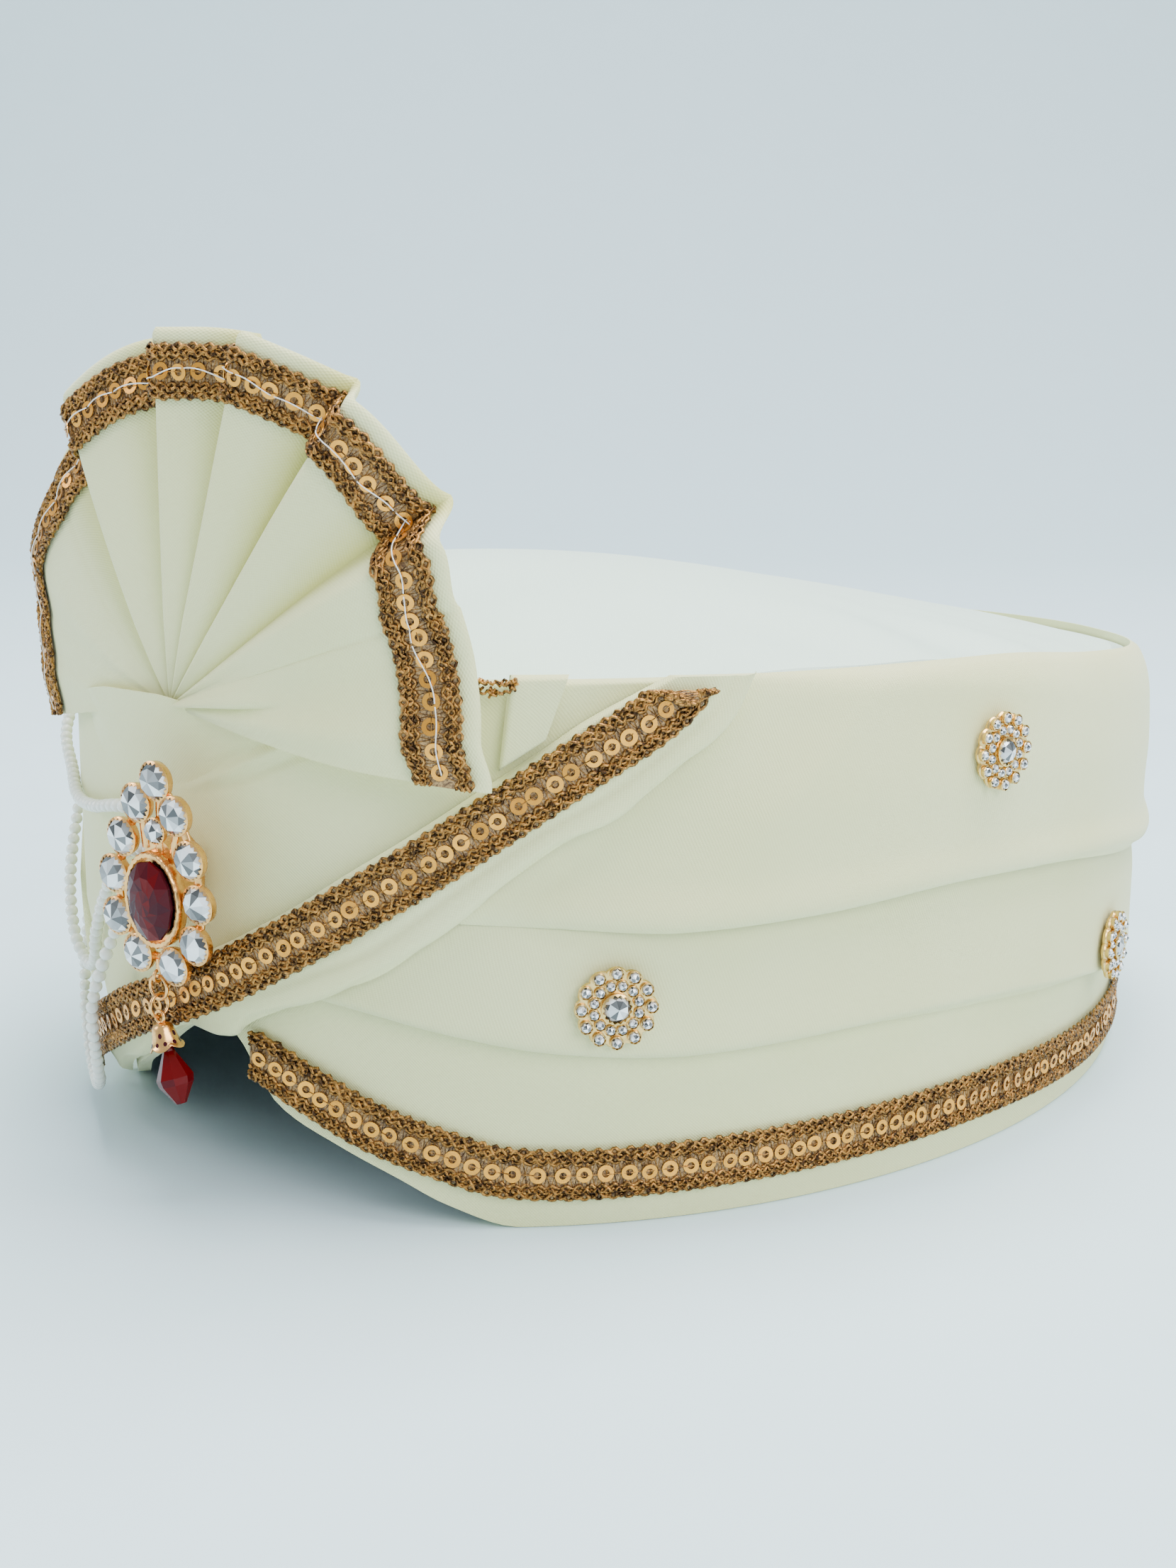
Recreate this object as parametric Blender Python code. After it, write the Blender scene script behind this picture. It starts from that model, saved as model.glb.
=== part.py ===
"""Tied turban pagri: a wrapped cloth cap with a pleated fan, braid, buttons, brooch and bead strings.

The hat rests on its rim at z = 0 with the wearer's front towards -Y and the wearer's left towards +X.
Places on the wall are given by an angle from the front centre, positive towards +X, by a share of
WALL_HEIGHT, and by how far a face stands out from the oval of the rim.
"""
import math
from collections import namedtuple

import bmesh
import bpy
from mathutils import Matrix, Vector

# Driving sizes, in metres
RIM_HALF_WIDTH = 0.0920
RIM_HALF_LENGTH = 0.1187
WALL_HEIGHT = 0.0920
CAP_WALL = 0.0025
CROWN_RISE = 0.0110
CROWN_DROP = 0.0018
ARCH_RISE = 0.0294
FRONT_TUCK = 0.0068
CLOTH = 0.0018
LAYER_GAP = 0.0006
SEAT_GAP = 0.0003

LOWER_FOLD = 0.0028
UPPER_FOLD = 0.0049
FOLD_OVERLAP = 0.0050
SASH_CLOTH = 0.0022
PANEL_SEAT = 0.0009
SASH_SEAT = PANEL_SEAT + CLOTH + LAYER_GAP
END_THIN = 0.0012
PANEL_UNDER = 0.0036
STRIP_LIFT = 0.0012

BRAID_WIDTH = 0.0092
BRAID_THICK = 0.0010

FAN_RADIUS = 0.0640
FAN_ROOT = 0.0040
FAN_CLOTH = 0.0014
FAN_ANGLE = 2.4
FAN_HEIGHT = 0.0865
FAN_HEM = 0.0024
FAN_LEAN = 0.0050
FAN_FAR_STAND = 0.0035
KNOT_BELOW = 0.0085
KNOT_ABOVE = 0.0030
PLEAT_DEPTH = 0.0060

BUTTON_SIZE = 0.0140
BUTTON_BASE = 0.0016
BUTTON_STONE_DEEP = 0.0011
BUTTON_MIDDLE_DEEP = 0.0022
STONE_SINK = 0.0002

BROOCH_ANGLE = 4.3
BROOCH_HEIGHT = 0.0580
BROOCH_STAND = 0.0098
BROOCH_TURN = -7.0
BROOCH_LEAN = 4.0
BROOCH_TAIL = 0.0020
CUP_SIZE = 0.0069
CUP_DEPTH = 0.0016
PLATE_THICK = 0.0011
CENTRE_STONE_WIDE = 0.0114
CENTRE_STONE_TALL = 0.0150
CENTRE_STONE_DEEP = 0.0032
BEZEL = 0.0007
CUP_STONE_DEEP = 0.0018
CUP_STONE_SINK = 0.0013
BRIDGE_HALF = 0.0009
BRIDGE_STEP = 0.0001
PAD_WIDE = 0.0046
PAD_TALL = 0.0075
PAD_TAPER = 0.0004

WIRE = 0.0006
RING_SIZE = 0.0046
EYE_SIZE = 0.0026
DROP_CAP_WIDE = 0.0056
DROP_CAP_TALL = 0.0048
DROP_CAP_SHELL = 0.0005
DROP_STONE_WIDE = 0.0064
DROP_STONE_TALL = 0.0120
DROP_LEAN = 17.0

BEAD_SIZE = 0.0024

# Tables. Angles are degrees from the front centre, heights and stands are shares of the named size
Level = namedtuple("Level", "angle share")
Fold = namedtuple("Fold", "up seat thick")
Crossing = namedtuple("Crossing", "low_angle low high_angle high seat")
Pleat = namedtuple("Pleat", "spread depth reach")
RoutePoint = namedtuple("RoutePoint", "angle share stand")

# Share of WALL_HEIGHT, the same on both sides
TOP_EDGE = (Level(0, 1.015), Level(35, 1.015), Level(70, 1.005), Level(85, 0.995), Level(102, 0.955),
            Level(125, 0.905), Level(150, 0.870), Level(180, 0.855))
LOWER_FOLD_LINE = (Level(10, 0.435), Level(18, 0.420), Level(31, 0.374), Level(42, 0.340),
                   Level(55, 0.320), Level(70, 0.318), Level(84, 0.300), Level(97, 0.268),
                   Level(115, 0.225), Level(180, 0.190))
UPPER_FOLD_LINE = (Level(25, 0.585), Level(41, 0.573), Level(51, 0.563), Level(64, 0.572),
                   Level(77, 0.583), Level(93, 0.555), Level(118, 0.480), Level(180, 0.430))

# Share of ARCH_RISE, lifting the rim's edge off the floor round the front
ARCH = (Level(-40, 0), Level(-33, 0.12), Level(-20, 0.42), Level(-9.8, 0.66), Level(0.4, 0.99),
        Level(5.5, 1.10), Level(7.8, 1.02), Level(13, 0.64), Level(20, 0.44), Level(26, 0.28),
        Level(31, 0.13), Level(38, 0))

# Share of WALL_HEIGHT, along the middle of the braid
RIM_BRAID = (Level(10, 0.296), Level(16, 0.254), Level(23.4, 0.190), Level(30.3, 0.144),
             Level(37, 0.108), Level(44, 0.100), Level(84, 0.108), Level(110, 0.095),
             Level(180, 0.092), Level(318, 0.100))
SASH_BRAID = (Level(-38, 0.085), Level(-25, 0.180), Level(-11, 0.285), Level(-5.3, 0.335),
              Level(6.8, 0.430), Level(16, 0.523), Level(24, 0.618), Level(31, 0.705),
              Level(37.7, 0.795), Level(44, 0.880), Level(50.5, 0.965))

# The front sash, from the far rim up to the near top edge; heights are shares of WALL_HEIGHT and
# seat is the share of SASH_SEAT that its lower edge stands off the cap
SASH_ROWS = (Crossing(-40, 0.004, -39, 0.155, 0.3), Crossing(-33, 0.040, -32, 0.205, 0.3),
             Crossing(-20, 0.140, -19, 0.285, 0.3), Crossing(-10, 0.215, -10, 0.350, 0.3),
             Crossing(0, 0.318, -2, 0.415, 0.3), Crossing(8, 0.335, 4, 0.470, 0.4),
             Crossing(12, 0.375, 10, 0.525, 0.7), Crossing(19.7, 0.440, 17, 0.600, 1.0),
             Crossing(26, 0.490, 22.5, 0.668, 1.0), Crossing(33.5, 0.603, 28, 0.735, 1.0),
             Crossing(41, 0.715, 34.5, 0.820, 1.0), Crossing(47.3, 0.785, 40, 0.893, 1.0),
             Crossing(51.5, 0.850, 43.8, 0.945, 1.0), Crossing(56.5, 0.940, 48, 0.990, 1.0),
             Crossing(58.5, 1.015, 51, 1.020, 1.0))

# The plain sash on the far side, from above the front sash up to the top edge
FAR_SASH_ROWS = (Crossing(-43, 0.185, -30, 0.262, 1.0), Crossing(-46, 0.300, -34, 0.390, 1.0),
                 Crossing(-52, 0.520, -40, 0.610, 1.0), Crossing(-58, 0.740, -46, 0.830, 1.0),
                 Crossing(-64, 0.995, -53, 1.010, 1.0))

# Across a wrapped piece from its lower edge up: seat blends from its lower to its upper stand
LOWER_FOLDS = (Fold(0, 0, 0.35), Fold(0.05, 0, 0.85), Fold(0.45, 0, 1.0), Fold(0.80, 0, 0.86),
               Fold(1.0, 0, 0.50))
UPPER_FOLDS = (Fold(0, 0, 0.22), Fold(0.04, 0, 0.42), Fold(0.20, 0.80, 0.80), Fold(0.50, 1, 1.04),
               Fold(0.90, 1, 0.80), Fold(1.0, 1, 0.34))
SASH_FOLDS = (Fold(0, 0, 0.45), Fold(0.08, 0.05, 1.0), Fold(0.52, 1, 0.9), Fold(0.94, 1, 0.9),
              Fold(1.0, 1, 0.5))
PANEL_FOLDS = (Fold(0, 0, 1.0), Fold(0.33, 0, 1.0), Fold(0.66, 0, 1.0), Fold(0.93, 0, 1.0),
               Fold(1.0, 0, 0.6))
FLAT_FOLDS = (Fold(0, 0, 1.0), Fold(1.0, 0, 1.0))

# The fan's folds, by their spread from upright; depth is a share of PLEAT_DEPTH, reach of FAN_RADIUS
PLEATS = (Pleat(-100, 0.05, 0.82), Pleat(-87, 0.35, 0.82), Pleat(-77, 0.50, 0.86), Pleat(-67, 0.70, 0.94),
          Pleat(-50, 0.35, 0.88), Pleat(-36, 0.15, 0.87), Pleat(-29, 1.0, 0.905), Pleat(-4, 0.15, 0.94),
          Pleat(1, 0.90, 0.964), Pleat(14, 0.15, 0.985), Pleat(18.6, 0.90, 1.012), Pleat(33, 0.15, 1.043),
          Pleat(40.8, 0.90, 1.05), Pleat(52.4, 0.15, 1.022), Pleat(62.8, 1.0, 0.947), Pleat(71, 0.55, 0.923),
          Pleat(80.4, 0.40, 0.934), Pleat(91, 0.35, 0.935), Pleat(99, 0.20, 0.96))

# Ornament seats
BUTTON_SEATS = (("button_left_front", 46.4, 0.429), ("button_left_top", 82.8, 0.824),
                ("button_left_back", 108.1, 0.304), ("button_right_front", -64.0, 0.440),
                ("button_right_top", -84.0, 0.824), ("button_right_back", -108.1, 0.304))
BUTTON_STONES = 12

# Cups of the brooch, as shares of its half size to the top cup's middle, right side then mirrored
Cup = namedtuple("Cup", "across up")
BROOCH_HALF = 0.0181
CUP_PAIRS = (Cup(0.25, 0.73), Cup(0.44, 0.35), Cup(0.555, -0.045), Cup(0.51, -0.46), Cup(0.235, -0.75))
CENTRE_STONE_UP = -0.15
SMALL_CUP_UP = 0.52

# Bead strings on the far side: angle, share of WALL_HEIGHT, share of BEAD_STAND off the cap
BEAD_STAND = 0.0080
BEAD_ROUTES = (
    ("pearl_string_upper",
     (RoutePoint(-1.2, 0.740, 0.60), RoutePoint(-7, 0.730, 0.62), RoutePoint(-14, 0.705, 0.56),
      RoutePoint(-22, 0.695, 0.52), RoutePoint(-30, 0.720, 0.54), RoutePoint(-37, 0.770, 0.80),
      RoutePoint(-44, 0.830, 0.86), RoutePoint(-51, 0.885, 0.86), RoutePoint(-56.5, 0.925, 0.86))),
    ("pearl_string_middle",
     (RoutePoint(-1.2, 0.665, 0.60), RoutePoint(-6, 0.640, 0.62), RoutePoint(-11, 0.550, 0.56),
      RoutePoint(-16, 0.445, 0.52), RoutePoint(-21, 0.355, 0.54), RoutePoint(-26, 0.330, 0.66),
      RoutePoint(-31, 0.370, 0.84), RoutePoint(-37, 0.475, 0.86), RoutePoint(-44, 0.620, 0.86),
      RoutePoint(-51, 0.765, 0.86), RoutePoint(-57, 0.878, 0.86))),
    ("pearl_string_lower",
     (RoutePoint(-1.2, 0.590, 0.60), RoutePoint(-5, 0.560, 0.62), RoutePoint(-8.5, 0.475, 0.66),
      RoutePoint(-10.5, 0.395, 0.92), RoutePoint(-12.5, 0.310, 1.12), RoutePoint(-15, 0.210, 1.10),
      RoutePoint(-19, 0.120, 1.04), RoutePoint(-25, 0.075, 1.04), RoutePoint(-32, 0.095, 1.04),
      RoutePoint(-38, 0.180, 1.02), RoutePoint(-43, 0.300, 0.96), RoutePoint(-48, 0.460, 0.90),
      RoutePoint(-53, 0.640, 0.88), RoutePoint(-58, 0.830, 0.86))))
BEAD_ROUTE_STEP = 2.6

# Counts
FRONT_SIDES = 18
BACK_SIDES = 30
BAND_STATIONS = 38
BRAID_STATIONS = 42


def clear_scene():
    for item in list(bpy.data.objects):
        bpy.data.objects.remove(item, do_unlink=True)


def material(name, colour, roughness, metallic=0.0, transmission=0.0):
    finish = bpy.data.materials.new(name)
    finish.use_nodes = True
    shader = finish.node_tree.nodes["Principled BSDF"]
    shader.inputs["Base Color"].default_value = (*colour, 1.0)
    shader.inputs["Roughness"].default_value = roughness
    shader.inputs["Metallic"].default_value = metallic
    shader.inputs["Transmission Weight"].default_value = transmission
    return finish


def blend(start, end, share):
    return start + (end - start) * share


def level(rows, angle, mirrored=False):
    """The share at an angle, on a smooth curve that never overshoots the rows of a table."""
    place = abs(angle) if mirrored else angle
    if place <= rows[0].angle:
        return rows[0].share
    if place >= rows[-1].angle:
        return rows[-1].share
    index = next(i for i in range(len(rows) - 1) if place <= rows[i + 1].angle)

    def slope(i):
        return (rows[i + 1].share - rows[i].share) / (rows[i + 1].angle - rows[i].angle)

    def tangent(i):
        if i == 0 or i == len(rows) - 1:
            return 0.0
        before, after = slope(i - 1), slope(i)
        return 0.0 if before * after <= 0 else 2 * before * after / (before + after)

    span = rows[index + 1].angle - rows[index].angle
    t = (place - rows[index].angle) / span
    return ((2 * t ** 3 - 3 * t ** 2 + 1) * rows[index].share
            + (t ** 3 - 2 * t ** 2 + t) * span * tangent(index)
            + (3 * t ** 2 - 2 * t ** 3) * rows[index + 1].share
            + (t ** 3 - t ** 2) * span * tangent(index + 1))


def signed(angle):
    """The same direction as an angle from -180 to 180 degrees."""
    return (angle + 180.0) % 360.0 - 180.0


def tuck(angle, height):
    """How far the wall draws in low down, just past the front centre on the far side."""
    centre, spread, fade = -24.0, 30.0, 0.46
    across = max(0.0, 1.0 - ((signed(angle) - centre) / spread) ** 2)
    upward = max(0.0, 1.0 - height / (fade * WALL_HEIGHT))
    return FRONT_TUCK * across ** 2 * upward


def wall(angle, height, stand):
    """A point that stands out from the rim's oval at an angle and a height."""
    turn = math.radians(angle)
    reach = stand - tuck(angle, height)
    return Vector(((RIM_HALF_WIDTH + reach) * math.sin(turn),
                   -(RIM_HALF_LENGTH + reach) * math.cos(turn), height))


def arc_per_degree(angle):
    """Length round the oval for each degree."""
    turn = math.radians(angle)
    return math.hypot(RIM_HALF_WIDTH * math.cos(turn), RIM_HALF_LENGTH * math.sin(turn)) * math.pi / 180


def seat_frame(angle, height, stand):
    """A frame on the wall: X across to the viewer's right, Y up, Z outward."""
    spin = math.radians(angle)
    out = Vector((math.sin(spin) / RIM_HALF_WIDTH, -math.cos(spin) / RIM_HALF_LENGTH, 0)).normalized()
    across = Vector((-out.y, out.x, 0))
    place = wall(angle, height, stand)
    frame = Matrix((across, Vector((0, 0, 1)), out)).transposed().to_4x4()
    frame.translation = place
    return frame


def add_object(name, mesh, finish, frame=None):
    piece = bpy.data.objects.new(name, mesh)
    bpy.context.scene.collection.objects.link(piece)
    if not mesh.materials:
        mesh.materials.append(finish)
    if frame is not None:
        piece.matrix_world = frame
    return piece


def mesh_from_bmesh(name, work, smooth_angle=35.0):
    bmesh.ops.recalc_face_normals(work, faces=work.faces)
    mesh = bpy.data.meshes.new(name)
    work.to_mesh(mesh)
    work.free()
    mesh.shade_smooth()
    mesh.set_sharp_from_angle(angle=math.radians(smooth_angle))
    return mesh


def loft(name, loops, finish):
    """A closed solid through loops of equal count, capped at both ends."""
    work = bmesh.new()
    rings = [[work.verts.new(point) for point in loop] for loop in loops]
    for first, second in zip(rings, rings[1:]):
        for i in range(len(first)):
            j = (i + 1) % len(first)
            work.faces.new((first[i], first[j], second[j], second[i]))
    half = len(rings[0]) // 2
    for ring in (rings[0], rings[-1]):
        for i in range(half - 1):
            work.faces.new((ring[i], ring[i + 1], ring[-2 - i], ring[-1 - i]))
    return add_object(name, mesh_from_bmesh(name, work), finish)


def wrapped(name, stations, folds, cloth, finish):
    """Cloth lofted round the wall. A station holds its low and high edge, its two seats and a share
    of the cloth's thickness."""
    loops = []
    for low_angle, low, high_angle, high, low_seat, high_seat, full in stations:
        outer, inner = [], []
        for fold in folds:
            angle = blend(low_angle, high_angle, fold.up)
            height = blend(low, high, fold.up)
            seat = blend(low_seat, high_seat, fold.seat)
            outer.append(wall(angle, height, seat + cloth * fold.thick * full))
            inner.append(wall(angle, height, seat))
        loops.append(outer + inner[::-1])
    return loft(name, loops, finish)


def top_edge(angle):
    return level(TOP_EDGE, signed(angle), mirrored=True) * WALL_HEIGHT


def rim_edge(angle):
    return level(ARCH, signed(angle)) * ARCH_RISE


def crown_height(x, y):
    """Height of the crown's cloth above a place in plan."""
    across = x / RIM_HALF_WIDTH
    along = y / RIM_HALF_LENGTH
    out = min(1.0, math.hypot(across, along))
    angle = math.degrees(math.acos(max(-1.0, min(1.0, -along))))
    dome = CROWN_RISE * (1 - along / 3) * (1 - out ** 2)
    return top_edge(angle) - CROWN_DROP + dome


def cap_angles():
    """Angles of the cap's sides, closer together across the arched front."""
    front_half = 45.0
    front = [blend(-front_half, front_half, i / FRONT_SIDES) for i in range(FRONT_SIDES)]
    return front + [blend(front_half, 360.0 - front_half, i / BACK_SIDES) for i in range(BACK_SIDES)]


def cap_shell(finish):
    """The stiff cap under the wraps: an oval wall, arched at the front, under a low domed crown."""
    shares = (0, 0.12, 0.35, 0.68, 1.0)
    crown_rings = (0.94, 0.80, 0.55, 0.28)
    angles = cap_angles()
    sides = len(angles)
    work = bmesh.new()

    def side_ring(share, stand, drop):
        points = []
        for angle in angles:
            hem = rim_edge(angle)
            place = wall(angle, 0, stand)
            edge = crown_height(place.x, place.y) - drop
            points.append(work.verts.new(wall(angle, blend(hem, edge, share), stand)))
        return points

    def crown_ring(share, stand, drop):
        points = []
        for angle in angles:
            place = wall(angle, WALL_HEIGHT, stand) * share
            points.append(work.verts.new((place.x, place.y, crown_height(place.x, place.y) - drop)))
        return points

    outer = [side_ring(share, 0, 0) for share in shares]
    outer += [crown_ring(share, 0, 0) for share in crown_rings]
    inner = [side_ring(share, -CAP_WALL, CAP_WALL) for share in shares]
    inner += [crown_ring(share, -CAP_WALL, CAP_WALL) for share in crown_rings[1::2]]
    for rings in (outer, inner):
        for low, high in zip(rings, rings[1:]):
            for i in range(sides):
                j = (i + 1) % sides
                work.faces.new((low[i], low[j], high[j], high[i]))
        apex = work.verts.new((0, 0, crown_height(0, 0) - (0 if rings is outer else CAP_WALL)))
        for i in range(sides):
            work.faces.new((rings[-1][i], rings[-1][(i + 1) % sides], apex))
    for i in range(sides):
        j = (i + 1) % sides
        work.faces.new((inner[0][i], inner[0][j], outer[0][j], outer[0][i]))
    return add_object("cap_shell", mesh_from_bmesh("cap_shell", work, 50), finish)


def end_share(share):
    """Cloth thins towards both ends of a wrap, where it passes under the sashes."""
    thin, fade = 0.02, 0.05
    nearest = min(share, 1 - share)
    return min(1.0, max(0.0, nearest - thin) / fade)


def lower_band(finish):
    """The lower fold of the wrap, from under the front sash round to the far side."""
    low_ends, high_ends = (9.0, 318.0), (29.0, 310.0)
    stations = []
    for i in range(BAND_STATIONS + 1):
        share = i / BAND_STATIONS
        low_angle, high_angle = blend(*low_ends, share), blend(*high_ends, share)
        low = level(LOWER_FOLD_LINE, signed(low_angle), True) * WALL_HEIGHT
        high = level(UPPER_FOLD_LINE, signed(high_angle), True) * WALL_HEIGHT + FOLD_OVERLAP
        full = blend(END_THIN / LOWER_FOLD, 1.0, end_share(share))
        stations.append((low_angle, low, high_angle, high, LAYER_GAP, LAYER_GAP, full))
    return wrapped("lower_band", stations, LOWER_FOLDS, LOWER_FOLD, finish)


def upper_band(finish):
    """The upper fold of the wrap, which laps over the lower one and closes the top edge."""
    low_ends, high_ends = (31.5, 311.5), (54.5, 301.0)
    stations = []
    for i in range(BAND_STATIONS + 1):
        share = i / BAND_STATIONS
        low_angle, high_angle = blend(*low_ends, share), blend(*high_ends, share)
        low = level(UPPER_FOLD_LINE, signed(low_angle), True) * WALL_HEIGHT
        thin = end_share(share)
        lap = LAYER_GAP + LOWER_FOLD * blend(END_THIN / LOWER_FOLD, 1.0, thin) + LAYER_GAP
        full = blend(END_THIN / UPPER_FOLD, 1.0, thin)
        stations.append((low_angle, low, high_angle, top_edge(high_angle), lap, LAYER_GAP, full))
    return wrapped("upper_band", stations, UPPER_FOLDS, UPPER_FOLD, finish)


def sash_edge(angle):
    """Height of the front sash's upper edge at an angle."""
    rows = [Level(row.high_angle, row.high) for row in SASH_ROWS]
    return level(rows, angle) * WALL_HEIGHT


def front_panel(finish):
    """The smooth front cloth between the two sashes, with a free straight top edge."""
    count = 26
    low_ends, high_ends = (-29.0, 43.0), (-49.0, 45.5)
    stations = []
    for i in range(count + 1):
        share = i / count
        low_angle, high_angle = blend(*low_ends, share), blend(*high_ends, share)
        low = sash_edge(low_angle) - PANEL_UNDER
        stations.append((low_angle, low, high_angle, top_edge(high_angle), PANEL_SEAT, PANEL_SEAT, 1.0))
    return wrapped("front_panel", stations, PANEL_FOLDS, CLOTH, finish)


def crossing_stations(rows, steps):
    """Stations along a sash, read evenly between its rows."""
    stations = []
    for first, second in zip(rows, rows[1:]):
        for step in range(steps):
            mix = [blend(a, b, step / steps) for a, b in zip(first, second)]
            stations.append(mix)
    stations.append(list(rows[-1]))
    return [(low_angle, low * WALL_HEIGHT, high_angle, high * WALL_HEIGHT, seat * SASH_SEAT,
             SASH_SEAT, 1.0) for low_angle, low, high_angle, high, seat in stations]


def front_sash(finish):
    """The diagonal strip that crosses the front from the far rim to the near top edge."""
    return wrapped("front_sash", crossing_stations(SASH_ROWS, 2), SASH_FOLDS, SASH_CLOTH, finish)


def far_sash(finish):
    """The plain strip over the wraps' far ends."""
    return wrapped("far_sash", crossing_stations(FAR_SASH_ROWS, 3), SASH_FOLDS, SASH_CLOTH, finish)


def braid(name, rows, start, end, count, seat, finish):
    """A flat braid of even width along a path on the wall."""
    nudge = 0.5
    stations = []
    for i in range(count + 1):
        angle = blend(start, end, i / count)
        height = level(rows, angle) * WALL_HEIGHT
        rise = (level(rows, angle + nudge) - level(rows, angle - nudge)) * WALL_HEIGHT
        run = 2 * nudge * arc_per_degree(angle)
        slope = math.atan2(rise, run)
        across = BRAID_WIDTH / 2 * math.sin(slope) / arc_per_degree(angle)
        up = BRAID_WIDTH / 2 * math.cos(slope)
        stations.append((angle + across, height - up, angle - across, height + up, seat, seat, 1.0))
    return wrapped(name, stations, FLAT_FOLDS, BRAID_THICK, finish)


def tuck_strip(finish):
    """The end of a folded strip that shows behind the fan's near wing."""
    low_ends, high_ends, count = (36.5, 40.5), (37.5, 42.5), 3
    stations = []
    for i in range(count + 1):
        low_angle, high_angle = blend(*low_ends, i / count), blend(*high_ends, i / count)
        seat = SASH_SEAT + SEAT_GAP
        stations.append((low_angle, sash_edge(low_angle) + STRIP_LIFT, high_angle,
                         top_edge(high_angle) + STRIP_LIFT, seat, seat, 1.0))
    return wrapped("tuck_strip", stations, FLAT_FOLDS, CLOTH, finish)


def fan_base(across):
    """How far the flat of the fan stands out: it rides over the front sash on the near side."""
    panel = PANEL_SEAT + CLOTH + SEAT_GAP + FAN_CLOTH / 2
    sash = SASH_SEAT + SASH_CLOTH + LAYER_GAP + BRAID_THICK + LAYER_GAP + FAN_CLOTH
    share = max(0.0, min(1.0, (across - 0.1 * FAN_RADIUS) / (0.6 * FAN_RADIUS)))
    return blend(panel, sash, share * share * (3 - 2 * share))


def fan_point(pleat, radius, lift):
    """A point of the fan at a pleat's spread and a radius, lifted off its middle layer. The fan leans
    back as it rises, and its far wing stands clear of the wall."""
    spread = math.radians(pleat.spread)
    across, up = radius * math.sin(spread), radius * math.cos(spread)
    share = radius / FAN_RADIUS
    stand = (fan_base(across) + PLEAT_DEPTH * pleat.depth * share
             - FAN_LEAN * max(0.0, up) / FAN_RADIUS + FAN_FAR_STAND * max(0.0, -across / FAN_RADIUS) ** 2)
    angle = FAN_ANGLE + across / ((RIM_HALF_WIDTH + stand) * math.pi / 180)
    return wall(angle, FAN_HEIGHT + up, stand + lift)


def fan_sheet(name, inner, outer, rings, low, high, finish):
    """A pleated ring sector between two radii, each a share of a pleat's reach less a margin."""
    loops = []
    for pleat in PLEATS:
        radii = [blend(inner(pleat), outer(pleat), i / rings) for i in range(rings + 1)]
        front = [fan_point(pleat, radius, high) for radius in radii]
        back = [fan_point(pleat, radius, low) for radius in radii]
        loops.append(front + back[::-1])
    return loft(name, loops, finish)


def fan(finish):
    """The pleated fan that stands up from the front."""
    return fan_sheet("fan", lambda pleat: FAN_ROOT, lambda pleat: FAN_RADIUS * pleat.reach, 4,
                     -FAN_CLOTH / 2, FAN_CLOTH / 2, finish)


def fan_braid(finish):
    """The braid sewn along the fan's edge, inside a narrow hem."""
    lift = FAN_CLOTH / 2 + LAYER_GAP
    return fan_sheet("fan_braid", lambda pleat: FAN_RADIUS * pleat.reach - FAN_HEM - BRAID_WIDTH,
                     lambda pleat: FAN_RADIUS * pleat.reach - FAN_HEM, 1, lift, lift + BRAID_THICK, finish)


def fan_knot(finish):
    """The cloth folded over the roots of the pleats."""
    left, right, count = -14.0, 7.0, 8
    root = FAN_ROOT * 2.6
    cover = fan_base(0) + FAN_CLOTH / 2 + PLEAT_DEPTH * root / FAN_RADIUS + LAYER_GAP
    folds = (Fold(0, 0, 0.7), Fold(0.45, 1, 1.0), Fold(0.9, 1, 1.0), Fold(1.0, 1, 0.5))
    stations = []
    for i in range(count + 1):
        angle = FAN_ANGLE + blend(left, right, i / count)
        stations.append((angle, FAN_HEIGHT - KNOT_BELOW, angle, FAN_HEIGHT + KNOT_ABOVE, SASH_SEAT, cover,
                         1.0))
    return wrapped("fan_knot", stations, folds, CLOTH, finish)


def prism(work, centre, rings, sides, turn=0.0, stretch=1.0):
    """A capped stack of polygon rings in one bmesh; a ring is its radius and its height."""
    loops = []
    for radius, height in rings:
        loop = []
        for i in range(sides):
            spin = 2 * math.pi * i / sides + turn
            loop.append(work.verts.new((centre[0] + radius * math.cos(spin),
                                        centre[1] + radius * stretch * math.sin(spin),
                                        centre[2] + height)))
        loops.append(loop)
    for first, second in zip(loops, loops[1:]):
        for i in range(sides):
            j = (i + 1) % sides
            work.faces.new((first[i], first[j], second[j], second[i]))
    work.faces.new(loops[0][::-1])
    work.faces.new(loops[-1])


def fused(name, groups):
    """One body from groups of shapes, joined by exact unions. Shapes in a group stay apart."""
    bodies = []
    for index, build in enumerate(groups):
        work = bmesh.new()
        build(work)
        body = add_object(f"{name}_shape_{index}", mesh_from_bmesh(name, work), None)
        body.data.materials.clear()
        bodies.append(body)
    first = bodies[0]
    for other in bodies[1:]:
        join = first.modifiers.new("join", "BOOLEAN")
        join.operation = "UNION"
        join.solver = "EXACT"
        join.object = other
    graph = bpy.context.evaluated_depsgraph_get()
    mesh = bpy.data.meshes.new_from_object(first.evaluated_get(graph))
    mesh.name = name
    for body in bodies:
        bpy.data.objects.remove(body, do_unlink=True)
    mesh.materials.clear()
    return mesh


def cut_stone(work, centre, size, deep, sides, stretch=1.0):
    """A round or oval cut stone: a girdle, a ring of facets and a flat table."""
    half = size / 2
    prism(work, centre, ((half, 0), (0.55 * half, deep)), sides, math.pi / sides, stretch)


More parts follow.
